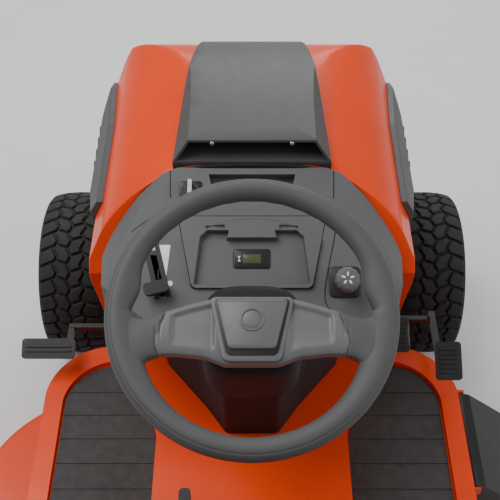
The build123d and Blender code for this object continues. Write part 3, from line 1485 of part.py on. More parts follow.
mat_wall = 5
with BuildPart() as footrest_mats:
    with BuildSketch(Plane.XY.offset(foot_z + seat_gap)):
        for hand in (-1, 1):
            with BuildLine():
                mat_outer = foot_half_width - rim_wide - 4
                mat_front = foot_front_y - rim_wide - 6
                Polyline((hand * 182, foot_rear_y + 40), (hand * mat_outer, foot_rear_y + 40),
                         (hand * mat_outer, mat_front - 80))
                ThreePointArc((hand * mat_outer, mat_front - 80), (hand * (mat_outer - 32), mat_front - 26),
                              (hand * (mat_outer - 90), mat_front))
                Polyline((hand * (mat_outer - 90), mat_front), (hand * 214, mat_front), (hand * 214, 260),
                         (hand * 182, 150), (hand * 182, foot_rear_y + 40))
            make_face()
    extrude(amount=mat_wall)
    # grooves across the mats
    for groove in range(10):
        with Locations((0, foot_rear_y + 80 + 52 * groove, foot_z + seat_gap + mat_wall)):
            Box(1000, 4, 3, mode=Mode.SUBTRACT)
save(footrest_mats, "footrest_mats")

back_angle = 15  # degrees that the backrest leans back
back_lean = tan(radians(back_angle))
back_foot_z = 652
back_y = -648.4
pan_front_y = -320
pan_rear_y = -660
with BuildPart() as seat_pan:
    with BuildSketch(Plane.XY.offset(seat_pan_z)):
        with Locations((0, (pan_front_y + pan_rear_y) / 2)):
            RectangleRounded(380, pan_front_y - pan_rear_y, 40)
    extrude(amount=seat_pan_wall)
    # hinge ears at the front, springs' caps at the back
    for hand in (-1, 1):
        with BuildSketch(side(hand * 120)):
            with Locations((seat_pivot_y, seat_pan_z - 6)):
                Circle(8)
                Circle(4 + fit, mode=Mode.SUBTRACT)
        extrude(amount=hand * 8)
        with BuildSketch(Plane.XY.offset(fender_z + seat_gap)):
            with Locations((hand * 120, -600)):
                Circle(20)
        extrude(amount=seat_pan_z - fender_z - seat_gap)
    # back frame that carries the backrest
    for hand in (-1, 1):
        with BuildSketch(side(hand * 140)):
            with BuildLine():
                Polyline((-640, seat_pan_z), (-662, seat_pan_z), (-662, back_foot_z - 4),
                         (-662 - 212 * back_lean, back_foot_z + 208), (back_y - 208 * back_lean, back_foot_z + 208),
                         (back_y, back_foot_z), (back_y, seat_pan_z + seat_pan_wall),
                         (-640, seat_pan_z + seat_pan_wall), close=True)
            make_face()
        extrude(amount=hand * 20)
save(seat_pan, "seat_pan")

cushion_bottom_z = seat_pan_z + seat_pan_wall + seat_gap
with BuildPart() as seat_cushion:
    with BuildSketch(Plane.XY.offset(cushion_bottom_z)):
        with Locations((0, (seat_front_y - 636) / 2)):
            RectangleRounded(2 * seat_half_width, 336, 60)
    extrude(amount=76)
    fillet(seat_cushion.faces().sort_by(Axis.Z)[-1].edges(), 24)
save(seat_cushion, "seat_cushion")

back_plane = Plane(origin=(0, back_y + seat_gap / cos(radians(back_angle)), back_foot_z), x_dir=(1, 0, 0),
                   z_dir=(0, -cos(radians(back_angle)), -sin(radians(back_angle))))
with BuildPart() as seat_backrest:
    with BuildSketch(back_plane):
        with Locations((0, 166)):
            RectangleRounded(2 * seat_half_width - 20, 332, 90)
    extrude(amount=-60)
    fillet(seat_backrest.faces().sort_by(Axis.Y)[-1].edges(), 22)
save(seat_backrest, "seat_backrest")

# =================================================================================================
# Pedals and levers
# =================================================================================================
pedal_cross_z = 356


def make_pedal(name, hand, hub_x, rise_y, pad_x, pad_y, pad_z, pad_wide, pad_deep, post_x):
    """A pedal: hub on its pivot, an arm forwards, a rise, an arm outwards and a ribbed pad on a post."""
    with BuildPart() as pedal:
        with BuildSketch(side(hand * hub_x)):
            with Locations((pedal_pivot_y, pedal_pivot_z)):
                Circle(11)
                Circle(6 + fit, mode=Mode.SUBTRACT)
        extrude(amount=hand * 12)
        with BuildSketch(side(hand * hub_x)):
            with BuildLine():
                Polyline((pedal_pivot_y + 9, pedal_pivot_z - 6), (rise_y + 5, pedal_pivot_z - 6),
                         (rise_y + 5, pedal_cross_z + 6), (rise_y - 5, pedal_cross_z + 6),
                         (rise_y - 5, pedal_pivot_z + 6), (pedal_pivot_y + 9, pedal_pivot_z + 6), close=True)
            make_face()
        extrude(amount=hand * 6)
        with Locations((hand * (hub_x + post_x + 6) / 2, rise_y, pedal_cross_z)):
            Box(post_x - hub_x + 6, 10, 12)
        post_top_z = pad_z - 15
        with Locations((hand * post_x, rise_y, (pedal_cross_z - 6 + post_top_z) / 2)):
            Box(12, 10, post_top_z - pedal_cross_z + 6)
        with Locations((hand * post_x, (rise_y + pad_y) / 2, post_top_z - 5)):
            Box(12, rise_y - pad_y + 10, 10)
        pad_plane = Plane(origin=(hand * pad_x, pad_y, pad_z), x_dir=(1, 0, 0),
                          z_dir=(0, -sin(radians(28)), cos(radians(28))))
        with BuildSketch(pad_plane.offset(-8)):
            RectangleRounded(pad_wide, pad_deep, 7)
        extrude(amount=8)
        ribs = int((pad_deep - 14) / 9)
        for rib in range(ribs):
            with BuildSketch(pad_plane):
                with Locations((0, (rib - (ribs - 1) / 2) * 9)):
                    RectangleRounded(pad_wide - 14, 4, 1.9)
            extrude(amount=3)
        with BuildSketch(pad_plane.offset(-24)):
            with Locations((hand * (post_x - pad_x), 0)):
                Rectangle(12, 16)
        extrude(amount=17)
    save(pedal, name)


make_pedal("brake_pedal", -1, 158, 383, 402, 316, 376, 104, 40, 366)
make_pedal("reverse_pedal", 1, 172, 383, 288, 338, 392, 46, 68, 284)
make_pedal("forward_pedal", 1, 158, 403, 380, 276, 392, 50, 74, 366)

with BuildPart() as deck_lift_lever:
    # cross shaft in the rail's bore, and the lever up through the fender's slot to its grip
    with BuildSketch(side(rail_outer_x - 20)):
        with Locations((lift_pivot_y, lift_pivot_z)):
            Circle(lift_shaft_radius)
    extrude(amount=130)
    with BuildSketch(side(rail_outer_x + 0.5)):
        with Locations((lift_pivot_y, lift_pivot_z)):
            Circle(lift_shaft_radius + 5)
    extrude(amount=6)
    with BuildSketch(side(252)):
        with BuildLine():
            Polyline((lift_pivot_y - 9, lift_pivot_z - 9), (lift_pivot_y + 11, lift_pivot_z - 9),
                     (-311, fender_z - 10), (-311, 668), (-323, 668), (-323, fender_z - 10), close=True)
        make_face()
    extrude(amount=8)
    with BuildSketch(Plane.XY.offset(640)):
        with Locations((256, -317)):
            RectangleRounded(24, 26, 8)
    extrude(amount=72)
save(deck_lift_lever, "deck_lift_lever")

with BuildPart() as cruise_lever:
    with BuildSketch(side(cruise_x - 3)):
        with BuildLine():
            Polyline((cruise_y - 6, cruise_pivot_z), (cruise_y + 6, cruise_pivot_z), (cruise_y + 6, 440),
                     (cruise_y - 6, 440), close=True)
        make_face()
        with Locations((cruise_y, cruise_pivot_z)):
            Circle(8)
            Circle(4 + fit, mode=Mode.SUBTRACT)
    extrude(amount=6)
    with BuildSketch(Plane.XY.offset(430)):
        with Locations((cruise_x, cruise_y)):
            RectangleRounded(20, 44, 8)
    extrude(amount=18)
save(cruise_lever, "cruise_lever")
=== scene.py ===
# %% [markdown]
# # A lawn tractor, seen from its seat
# The machine has a steering wheel on a leaning column, a dash, a painted hood, two
# footboards, four treaded tyres and a mower deck. Its solid parts arrive from CAD as a
# fixed frame. Some are kept and only get a finish. Others are modelled again here with
# softer, more detailed surfaces. Everything is in metres: +X right, +Y forward, +Z up.

# %% Load the frame
import bpy
import json
import math
import numpy as np
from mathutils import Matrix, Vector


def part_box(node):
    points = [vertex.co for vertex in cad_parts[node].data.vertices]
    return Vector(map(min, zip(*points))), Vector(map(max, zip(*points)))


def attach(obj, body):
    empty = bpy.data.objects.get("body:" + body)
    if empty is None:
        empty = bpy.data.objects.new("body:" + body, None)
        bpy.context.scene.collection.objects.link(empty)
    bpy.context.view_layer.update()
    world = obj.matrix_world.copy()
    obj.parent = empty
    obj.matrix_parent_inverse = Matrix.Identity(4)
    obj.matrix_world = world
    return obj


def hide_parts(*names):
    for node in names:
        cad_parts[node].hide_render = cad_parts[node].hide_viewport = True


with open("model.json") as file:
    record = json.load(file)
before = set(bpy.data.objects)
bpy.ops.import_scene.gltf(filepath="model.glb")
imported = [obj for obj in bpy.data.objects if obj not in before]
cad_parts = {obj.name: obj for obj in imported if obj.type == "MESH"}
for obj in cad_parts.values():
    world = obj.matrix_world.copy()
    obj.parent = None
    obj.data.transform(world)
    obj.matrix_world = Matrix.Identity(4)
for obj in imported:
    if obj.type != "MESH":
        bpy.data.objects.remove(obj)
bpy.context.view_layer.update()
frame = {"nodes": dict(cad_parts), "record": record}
nodes = frame["nodes"]
slot_of = {}
for entry in frame["record"]["subparts"]:
    slot_of[entry["node"]] = entry["material_slot"]

# %% [markdown]
# ## Finishes
# Every finish is a small node tree on Object coordinates, which are metres here, so a
# noise scale of 900 means grains about a millimetre across. The base colour wanders a
# little, the roughness follows a second noise, and a fine bump gives the moulded grain,
# the orange peel of the paint or the cast skin. Image textures would need UVs on loose CAD
# meshes, so noise is simpler here. The same recipe with other numbers gives every
# material, so it is written once.

# %% A recipe for a grained finish
def grained(name, colour, rough=0.5, drift=0.08, grain=900.0, bump=0.15, depth=0.0002,
            metal=0.0, coat=0.0, spread=0.08, cloud=9.0, dust=0.0, shine=0.5):
    """Colour times (1 +- drift x cloud noise); roughness = rough +- spread x noise; a bump of
    the given depth from fine noise; dust lightens the surfaces that face up."""
    mat = bpy.data.materials.new(name)
    mat.use_nodes = True
    tree = mat.node_tree
    tree.nodes.clear()
    out = tree.nodes.new("ShaderNodeOutputMaterial")
    skin = tree.nodes.new("ShaderNodeBsdfPrincipled")
    tree.links.new(skin.outputs["BSDF"], out.inputs["Surface"])
    where = tree.nodes.new("ShaderNodeTexCoord").outputs["Object"]
    clouds = noise(tree, where, cloud, 4.0)
    tint = tree.nodes.new("ShaderNodeValToRGB")
    tint.color_ramp.elements[0].position = 0.3
    tint.color_ramp.elements[1].position = 0.7
    tint.color_ramp.elements[0].color = (*[c * (1 - drift) for c in colour], 1)
    tint.color_ramp.elements[1].color = (*[min(1.0, c * (1 + drift)) for c in colour], 1)
    tree.links.new(clouds, tint.inputs["Fac"])
    colour_out = tint.outputs["Color"]
    if dust:
        colour_out = dusted(tree, where, colour_out, dust)
    tree.links.new(colour_out, skin.inputs["Base Color"])
    fine = noise(tree, where, grain, 2.0)
    span = tree.nodes.new("ShaderNodeMapRange")
    span.inputs["To Min"].default_value = max(0.02, rough - spread)
    span.inputs["To Max"].default_value = min(1.0, rough + spread)
    tree.links.new(noise(tree, where, cloud * 7, 3.0), span.inputs["Value"])
    tree.links.new(span.outputs["Result"], skin.inputs["Roughness"])
    relief = tree.nodes.new("ShaderNodeBump")
    relief.inputs["Strength"].default_value = bump
    relief.inputs["Distance"].default_value = depth
    tree.links.new(fine, relief.inputs["Height"])
    tree.links.new(relief.outputs["Normal"], skin.inputs["Normal"])
    skin.inputs["Metallic"].default_value = metal
    skin.inputs["Coat Weight"].default_value = coat
    skin.inputs["Coat Roughness"].default_value = 0.08
    skin.inputs["Specular IOR Level"].default_value = shine
    return mat


def noise(tree, where, scale, detail):
    """One noise texture of the given scale; returns its 0..1 output."""
    node = tree.nodes.new("ShaderNodeTexNoise")
    node.inputs["Scale"].default_value = scale
    node.inputs["Detail"].default_value = detail
    tree.links.new(where, node.inputs["Vector"])
    return node.outputs["Fac"]


def dusted(tree, where, colour_out, amount):
    """Mixes in pale dust where the surface faces up and a coarse noise is high."""
    facing = tree.nodes.new("ShaderNodeSeparateXYZ")
    tree.links.new(tree.nodes.new("ShaderNodeNewGeometry").outputs["Normal"],
                   facing.inputs["Vector"])
    patch = tree.nodes.new("ShaderNodeMath")
    patch.operation = "MULTIPLY"
    patch.use_clamp = True
    tree.links.new(facing.outputs["Z"], patch.inputs[0])
    tree.links.new(noise(tree, where, 60.0, 6.0), patch.inputs[1])
    share = tree.nodes.new("ShaderNodeMath")
    share.operation = "MULTIPLY"
    share.inputs[1].default_value = amount
    tree.links.new(patch.outputs["Value"], share.inputs[0])
    mix = tree.nodes.new("ShaderNodeMix")
    mix.data_type = "RGBA"
    mix.inputs["B"].default_value = (0.36, 0.33, 0.28, 1)
    tree.links.new(share.outputs["Value"], mix.inputs["Factor"])
    tree.links.new(colour_out, mix.inputs["A"])
    return mix.outputs["Result"]


# after the name: colour, roughness, drift, grain, bump strength and bump depth
finishes = {
    "orange_paint": grained("orange_paint", (0.84, 0.052, 0.0), 0.36, 0.05, 260, 0.05, 0.0003,
                            coat=0.10, spread=0.04, shine=0.3),
    "black_paint": grained("black_paint", (0.0085, 0.0085, 0.009), 0.45, 0.1, 300, 0.08, 0.0003,
                           coat=0.2, dust=0.02),
    "grey_plastic": grained("grey_plastic", (0.104, 0.105, 0.108), 0.5, 0.04, 1500, 0.25, 0.0002),
    # painted shade: the grey plastic made darker, so that the top-lit cowl and the side panels look
    # shaded
    "grey_plastic_painted_shade": grained("grey_plastic_painted_shade", (0.058, 0.0585, 0.06), 0.5, 0.05, 1500, 0.3, 0.0002),
    "grip_foam": grained("grip_foam", (0.072, 0.0725, 0.074), 0.6, 0.05, 1100, 0.45, 0.0003),
    # painted light: a lighter copy of the grey plastic for the spokes and hub, brightened as if lit
    # from behind
    "grey_plastic_painted_light": grained("grey_plastic_painted_light", (0.125, 0.126, 0.129), 0.46, 0.04, 1500, 0.25,
                             0.0002),
    "dark_plastic": grained("dark_plastic", (0.020, 0.0215, 0.0235), 0.66, 0.06, 1300, 0.3,
                            0.0003, shine=0.2),
    "black_plastic": grained("black_plastic", (0.012, 0.012, 0.013), 0.42, 0.1, 1200, 0.2, 0.0002),
    "steel": grained("steel", (0.5, 0.5, 0.51), 0.3, 0.06, 700, 0.08, 0.0001, metal=1.0),
    "cast": grained("cast_iron", (0.09, 0.09, 0.092), 0.6, 0.15, 420, 0.6, 0.0006, metal=0.6),
    "alloy": grained("cast_alloy", (0.42, 0.43, 0.44), 0.45, 0.08, 520, 0.35, 0.0004, metal=0.9),
    "tyre": grained("tyre_rubber", (0.010, 0.010, 0.0105), 0.78, 0.2, 500, 0.4, 0.0004, dust=0.08),
    "rubber": grained("mat_rubber", (0.024, 0.025, 0.027), 0.75, 0.15, 800, 0.5, 0.0004, dust=0.14),
    "rim_paint": grained("rim_paint", (0.55, 0.54, 0.5), 0.35, 0.05, 300, 0.06, 0.0003, coat=0.4),
    "seat_cover": grained("seat_vinyl", (0.03, 0.03, 0.033), 0.5, 0.1, 900, 0.7, 0.0005),
    "lens": grained("lamp_lens", (0.75, 0.77, 0.8), 0.08, 0.03, 160, 0.1, 0.001, coat=1.0),
    "tank": grained("tank_plastic", (0.5, 0.49, 0.44), 0.5, 0.05, 700, 0.2, 0.0003),
}
print(len(finishes), "finishes")

# %% [markdown]
# ## The kept CAD pieces
# Stampings, castings and brackets are right as they come. Their mesh is loose triangles,
# so a Weld modifier joins them first. A narrow Bevel then rounds each sharp edge, because
# no real part has a knife edge and a thin highlight on each corner is what makes metal and
# plastic look solid.

# %% Give every CAD node its finish and soft edges
# the cowl and side panels take the darker copy of the grey plastic, painted shade
special = {"hood_cowl": "grey_plastic_painted_shade", "hood_side_panels": "grey_plastic_painted_shade"}  # darker than the dash
pressed_sheets = ("hood_shell", "rear_fender")
edge_round = 0.0012
sheet_edge_round = 0.0018


def finish_node(name):
    """Sets a node's finish, welds its triangles and rounds its edges sharper than 40 degrees."""
    part = nodes[name]
    part.data.materials.clear()
    part.data.materials.append(finishes[special.get(name, slot_of[name])])
    weld = part.modifiers.new("weld", "WELD")
    weld.merge_threshold = 0.00002
    edge = part.modifiers.new("edges", "BEVEL")
    edge.width = sheet_edge_round if name in pressed_sheets else edge_round
    edge.segments = 2
    edge.limit_method = "ANGLE"
    edge.angle_limit = math.radians(40)


for name in nodes:
    finish_node(name)
print("finished", len(nodes), "nodes")

# %% [markdown]
# ## Working with grids
# The new pieces are surfaces over a grid of two parameters. A numpy array of shape
# (rows, columns, 3) holds every point, and one function turns it into a mesh. Editing a
# cube by hand would also work, but a grid keeps each shape as a formula that can be
# changed. A direction that closes on itself is wrapped; an open end can get a cap.

# %% Turn an array of points into a piece
def grid_mesh(points, wrap_rows=False, wrap_columns=False, caps=False, flip=False):
    """Joins neighbouring grid points into quads; caps close the first and last row; flip turns
    every face over."""
    rows, columns = points.shape[:2]
    r = np.arange(rows if wrap_rows else rows - 1)
    c = np.arange(columns if wrap_columns else columns - 1)
    r, c = np.meshgrid(r, c, indexing="ij")
    r2 = (r + 1) % rows
    c2 = (c + 1) % columns
    quads = np.stack([r * columns + c, r * columns + c2, r2 * columns + c2, r2 * columns + c], -1)
    faces = quads.reshape(-1, 4).tolist()
    if caps:
        faces.append(list(range(columns))[::-1])
        faces.append([(rows - 1) * columns + k for k in range(columns)])
    if flip:
        faces = [f[::-1] for f in faces]
    return points.reshape(-1, 3), faces


def piece(name, parts, finish, body, replaces=(), angle=35):
    """One object from several (points, faces) pairs, smooth but for edges sharper than angle."""
    verts = []
    faces = []
    for points, quads in parts:
        start = sum(len(v) for v in verts)
        verts.append(points)
        faces.extend([[k + start for k in f] for f in quads])
    mesh = bpy.data.meshes.new(name)
    mesh.from_pydata(np.concatenate(verts).tolist(), [], faces)
    mesh.update()
    obj = bpy.data.objects.new(name, mesh)
    bpy.context.scene.collection.objects.link(obj)
    mesh.materials.append(finish)
    mesh.polygons.foreach_set("use_smooth", np.ones(len(mesh.polygons), bool))
    mesh.set_sharp_from_angle(angle=math.radians(angle))
    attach(obj, body)
    if replaces:
        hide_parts(*replaces)
    print(name, len(mesh.polygons), "faces")
    return obj


def smoothstep(a, b, x):
    """0 below a, 1 above b, and 3t^2 - 2t^3 between."""
    t = np.clip((x - a) / (b - a), 0, 1)
    return t * t * (3 - 2 * t)


def spline(points, count):
    """count points on a Catmull-Rom curve through the given ones."""
    p = np.asarray(points, float)
    n = len(p)
    t = np.linspace(0, n - 1, count)
    i = np.minimum(np.floor(t).astype(int), n - 2)
    padded = np.vstack([2 * p[0] - p[1], p, 2 * p[-1] - p[-2]])
    a, b, c, d = [padded[i + k] for k in range(4)]
    f = (t - i)[:, None]
    return 0.5 * (2 * b + (c - a) * f + (2 * a - 5 * b + 4 * c - d) * f ** 2
                  + (3 * b - a - 3 * c + d) * f ** 3)


print("grid_mesh, piece, smoothstep and spline are ready")

# %% [markdown]
# ## Tyres
# A turf tyre is a lathe shape with a pattern pressed into its tread. Its section runs from
# one bead, out over the side wall and shoulder, across the crown and back. That section is
# carried round the axle, and the tread's grooves are pushed in where a distance to a zigzag
# line is small. Cutting them with booleans would leave sharp, broken edges; working them
# out as a height on the grid keeps them soft, as moulded rubber is.

# %% Section and tread of a tyre
groove_depth = 0.0065
groove_floor = 0.0021  # a groove is flat this near its middle line
groove_edge = 0.0042  # and its walls reach the tread's surface this far away


def tyre_section(half, radius, bead, tread):
    """(across, out) points: 20 on each wall by a smooth curve, closely spaced over the tread."""
    wall = radius - bead
    side = spline([(0.66 * half, bead), (0.86 * half, bead + 0.06 * wall),
                   (0.975 * half, bead + 0.33 * wall), (0.99 * half, bead + 0.58 * wall),
                   (0.955 * half, bead + 0.82 * wall), (tread, radius - 0.075 * wall)], 21)[:-1]
    across = np.linspace(tread, -tread, 78)
    crown = radius - 0.075 * wall * (np.abs(across) / tread) ** 2.6
    middle = np.stack([across, crown], -1)
    other = side[::-1] * np.array([-1, 1])
    return np.concatenate([side, middle, other])


def zigzag(t):
    """A triangle wave of period 1 between -1 and 1."""
    return 4 * np.abs(t - np.floor(t + 0.5)) - 1


def tread_depth(along, across, tread, lanes, pitch):
    """How deep a point is sunk: groove_depth on the nearest groove's floor, 0 past its edge.
    lanes-1 zigzag grooves run round the tyre, and slanted cuts cross each lane, half a pitch
    apart in neighbouring lanes."""
    lane_width = 2 * tread / lanes
    swing = 0.16 * lane_width * zigzag(along / pitch)
    lane = (across + tread + swing) / lane_width
    to_ring = np.abs(lane - np.round(lane)) * lane_width
    to_ring = np.where((np.round(lane) < 1) | (np.round(lane) > lanes - 1), 1.0, to_ring)
    index = np.clip(np.floor(lane), 0, lanes - 1)
    slant = np.where(index % 2 == 0, 0.35, -0.35)
    cut = (along + slant * across) / pitch + 0.5 * index
    to_cut = np.abs(cut - np.round(cut)) * pitch
    near = np.minimum(to_ring, to_cut)
    edge = smoothstep(tread * 1.03, tread * 0.99, np.abs(across))
    return groove_depth * (1 - smoothstep(groove_floor, groove_edge, near)) * edge


print("grooves", groove_depth, "deep")

# %% Carry the section round each axle
wall_bands = ((0.40, 0.0009), (0.70, 0.0012))  # share of the wall's height, and the rise
band_spread = 0.0016
steps_round = 700


def make_tyre(name, node, x, y, z, half, radius, bead, lanes, pitch, body):
    """The section turned about the axle at y, z: y + out cos t, z + out sin t, where out is the
    section's radius less its groove's depth plus the raised bands on the walls."""
    tread = 0.84 * half
    section = tyre_section(half, radius, bead, tread)
    turn = np.linspace(0, 2 * np.pi, steps_round, endpoint=False)
    rings = round(2 * np.pi * radius / pitch)
    pitch = 2 * np.pi * radius / rings
    a, r = section[:, 0], section[:, 1]
    along = turn[:, None] * radius
    sunk = tread_depth(along, a[None, :], tread, lanes, pitch)
    wall = radius - bead
    for at, rise in wall_bands:
        sunk = sunk - rise * np.exp(-((r - bead - at * wall) / band_spread) ** 2)
    out = r[None, :] - sunk
    points = np.stack([np.broadcast_to(x + a, out.shape), y + out * np.cos(turn)[:, None],
                       z + out * np.sin(turn)[:, None]], -1)
    return piece(name, [grid_mesh(points, True, True, flip=True)], finishes["tyre"], body,
                 (node,), 50)


for hand, word in ((-1, "left"), (1, "right")):
    make_tyre(f"front_turf_tyre_{word}", f"front_tyre_{word}", x=hand * 0.4, y=0.67, z=0.19,
              half=0.0725, radius=0.19, bead=0.082, lanes=4, pitch=0.036,
              body=f"front_wheel_{word}")
    make_tyre(f"rear_turf_tyre_{word}", f"rear_tyre_{word}", x=hand * 0.385, y=-0.56, z=0.25,
              half=0.1025, radius=0.25, bead=0.108, lanes=6, pitch=0.04,
              body=f"rear_wheel_{word}")

# %% [markdown]
# ## The steering wheel
# The wheel lies in the plane of its leaning column, so its points are worked out flat, in
# metres across the wheel, up the wheel and along the column, and then laid on that plane.
# The rim is a soft tube that swells inwards where thumbs rest, with a shallow parting
# groove near its outer side. A torus could be sculpted, but a formula round the ring keeps
# both sides alike. The spokes are one broad bar that widens into the rim.

# %% The column's own directions
wheel_middle = np.array([0.0, -0.010, 0.915])
lean = math.radians(20)
across_wheel = np.array([1.0, 0.0, 0.0])
up_wheel = np.array([0.0, math.cos(lean), math.sin(lean)])
out_wheel = np.array([0.0, -math.sin(lean), math.cos(lean)])


def on_wheel(x, y, h):
    """Wheel middle + x across + y up the wheel + h along the column towards the driver."""
    x, y, h = np.broadcast_arrays(x, y, h)
    return (wheel_middle + x[..., None] * across_wheel + y[..., None] * up_wheel
            + h[..., None] * out_wheel)


print("wheel middle", wheel_middle, "leaning", round(math.degrees(lean)), "degrees")

# %% Rim with thumb rests: a tube whose radius and middle change round the ring
wheel_radius = 0.19
grip = 0.0155
ring = wheel_radius - grip
turn = np.linspace(0, 2 * np.pi, 360, endpoint=False)[:, None]
round_grip = np.linspace(0, 2 * np.pi, 96, endpoint=False)[None, :]
from_side = np.minimum(np.abs(turn), np.abs(turn - 2 * np.pi))
from_side = np.minimum(from_side, np.abs(turn - np.pi))
above = np.sin(turn) > 0
thumb = np.where(above, np.exp(-((from_side - math.radians(12)) / math.radians(10)) ** 2),
                 np.exp(-((from_side - math.radians(12)) / math.radians(30)) ** 2)) * 0.010
inner = np.clip(-np.cos(round_grip), 0, 1) ** 1.5
groove = 0.0009 * np.exp(-((round_grip - math.radians(62)) / 0.05) ** 2)
finger = 0.0007 * np.cos(turn * 36) * (from_side > math.radians(40)) * np.clip(
    -np.sin(round_grip), 0, 1)
swell = grip - groove + finger
x = (ring + np.cos(round_grip) * swell - inner * thumb) * np.cos(turn)
y = (ring + np.cos(round_grip) * swell - inner * thumb) * np.sin(turn)
h = np.sin(round_grip) * swell * 0.97
piece("wheel_rim_grip", [grid_mesh(on_wheel(x, y, h), True, True)], finishes["grip_foam"],
      "steering_wheel", ("steering_wheel_rim",), 60)

# %% Spokes: one bar from rim to rim, a flattened loop carried across the wheel
span = np.concatenate([np.linspace(-0.163, -0.13, 46), np.linspace(-0.1295, -0.105, 34),
                       np.linspace(-0.104, 0.104, 150), np.linspace(0.105, 0.1295, 34),
                       np.linspace(0.13, 0.163, 46)])
reach = np.abs(span)
top_outline = [(0, 0.020), (0.049, 0.019), (0.08, 0.011), (0.11, 0.0014), (0.128, -0.006),
               (0.14, -0.009), (0.148, -0.008), (0.154, -0.003), (0.159, 0.008), (0.163, 0.022)]
low_outline = [(0, -0.070), (0.034, -0.070), (0.06, -0.060), (0.10, -0.056), (0.118, -0.057),
               (0.133, -0.062), (0.141, -0.070), (0.147, -0.082), (0.154, -0.094),
               (0.163, -0.096)]
top_edge = np.interp(reach, *zip(*top_outline))
low_edge = np.interp(reach, *zip(*low_outline))
kernel = np.hanning(9) / np.hanning(9).sum()  # rounds the corners of both outlines
top_edge = np.convolve(np.pad(top_edge, 4, "edge"), kernel, "valid")[:, None]
low_edge = np.convolve(np.pad(low_edge, 4, "edge"), kernel, "valid")[:, None]
middle = (top_edge + low_edge) / 2
half_high = (top_edge - low_edge) / 2
thick = (0.009 + 0.002 * smoothstep(0.10, 0.16, reach))[:, None]
sweep = np.linspace(0, 2 * np.pi, 132, endpoint=False)[None, :]
cos_s, sin_s = np.cos(sweep), np.sin(sweep)
flat = 0.28  # a low power turns the loop from an ellipse into nearly a rectangle
y = middle + half_high * np.sign(cos_s) * np.abs(cos_s) ** flat
h = -0.003 + thick * np.sign(sin_s) * np.abs(sin_s) ** flat
x = np.broadcast_to(span[:, None], y.shape)
crown = 0.004 * (1 - ((y - middle) / half_high) ** 2)
facing = smoothstep(0.0, 0.6, sin_s)
seam_x = 0.112 + 0.012 * smoothstep(0.0, -0.04, y) - 0.006 * smoothstep(-0.04, -0.062, y)
seam = 0.0022 * np.exp(-((np.abs(x) - seam_x) / 0.0011) ** 2)
pad = (smoothstep(0.046, 0.052, np.abs(x)) * smoothstep(0.106, 0.098, np.abs(x))
       * smoothstep(0.006, 0.014, top_edge - y) * smoothstep(0.010, 0.024, y - low_edge))
h = h + facing * (crown - seam - 0.0042 * pad)
# the spokes take the lighter grey copy, painted light
spokes = piece("wheel_spokes", [grid_mesh(on_wheel(x, y, h), False, True, caps=True)],
               finishes["grey_plastic_painted_light"], "steering_wheel", ("steering_wheel_spokes",),
               40)

# %% Outside its seam the bar is covered with the rim's foam
spokes.data.materials.append(finishes["grip_foam"])
quads_across, quads_round = x.shape[0] - 1, x.shape[1]
beyond = (np.abs(x) > seam_x)[:-1].astype(np.int32).ravel()
ends = np.ones(len(spokes.data.polygons) - len(beyond), np.int32)
spokes.data.polygons.foreach_set("material_index", np.concatenate([beyond, ends]))
print(int(beyond.sum()), "of", quads_across * quads_round, "faces are foam")

# %% [markdown]
# ## Bevelled plates and turned parts
# Two more shapes come up again and again. A plate is an outline carried through a few
# heights, pulled in a little at each face so that its edges are rounded. A turned part is
# a profile of radius and height carried round an axis. Extrude with a Bevel modifier, and
# the Screw modifier, would do the same work; as arrays, both can be laid on any surface.

# %% Rounded outlines, plates and turned parts
def rounded(corners, radius, steps=6):
    """Each corner becomes a quadratic blend between points one radius away along its sides."""
    c = np.asarray(corners, float)
    before = np.roll(c, 1, 0) - c
    after = np.roll(c, -1, 0) - c
    b_len = np.linalg.norm(before, axis=1, keepdims=True)
    a_len = np.linalg.norm(after, axis=1, keepdims=True)
    start = c + before / b_len * np.minimum(radius, 0.45 * b_len)
    end = c + after / a_len * np.minimum(radius, 0.45 * a_len)
    t = np.linspace(0, 1, steps + 1)[None, :, None]
    curve = (1 - t) ** 2 * start[:, None] + 2 * t * (1 - t) * c[:, None] + t ** 2 * end[:, None]
    return curve.reshape(-1, 2)


def inset(outline, amount):
    """Moves each point inwards along the mean of its two sides' normals."""
    along = np.roll(outline, -1, 0) - np.roll(outline, 1, 0)
    along /= np.linalg.norm(along, axis=1, keepdims=True) + 1e-12
    return outline + amount * np.stack([-along[:, 1], along[:, 0]], -1)


def plate(outline, low, high, edge, place):
    """Rings of the outline at rising heights, pulled in by edge at both faces; place maps
    x, y, h."""
    area = np.sum(outline[:, 0] * np.roll(outline[:, 1], -1) - outline[:, 1]
                  * np.roll(outline[:, 0], -1))
    if area < 0:
        outline = outline[::-1]
    lift = np.array([0, 0.3, 1.0]) * edge
    draw = np.array([1.0, 0.3, 0.0]) * edge
    heights = np.concatenate([low + lift, high - lift[::-1]])
    rings = []
    for pull, height in zip(np.concatenate([draw, draw[::-1]]), heights):
        ring_now = inset(outline, pull)
        rings.append(place(ring_now[:, 0], ring_now[:, 1], height))
    return grid_mesh(np.array(rings), False, True, caps=True)


def turned(profile, place, count=64, closed=False):
    """The profile's radius and height go round: x = r cos t, y = r sin t, h = height. A closed
    profile makes a ring; an open one is capped at both ends."""
    p = np.asarray(profile, float)
    t = np.linspace(0, 2 * np.pi, count, endpoint=False)[None, :]
    return grid_mesh(place(p[:, :1] * np.cos(t), p[:, :1] * np.sin(t),
                           np.broadcast_to(p[:, 1:2], (len(p), count))), closed, True,
                     caps=not closed)


def slab(x0, x1, y0, y1, radius=0.002):
    """A rectangle's rounded outline."""
    return rounded([(x0, y0), (x1, y0), (x1, y1), (x0, y1)], radius, 4)


print("plate, turned and rounded are ready")

# %% The hub: a leaning skirt and a frame, with a black plate as painted shade in the groove inside it
skirt_foot = -0.058


def on_skirt(x, y, h):
    """The skirt slides 12 mm down the wheel for each 50 mm that it rises from its foot."""
    return on_wheel(x, y - 0.012 * (h - skirt_foot) / 0.05, h)


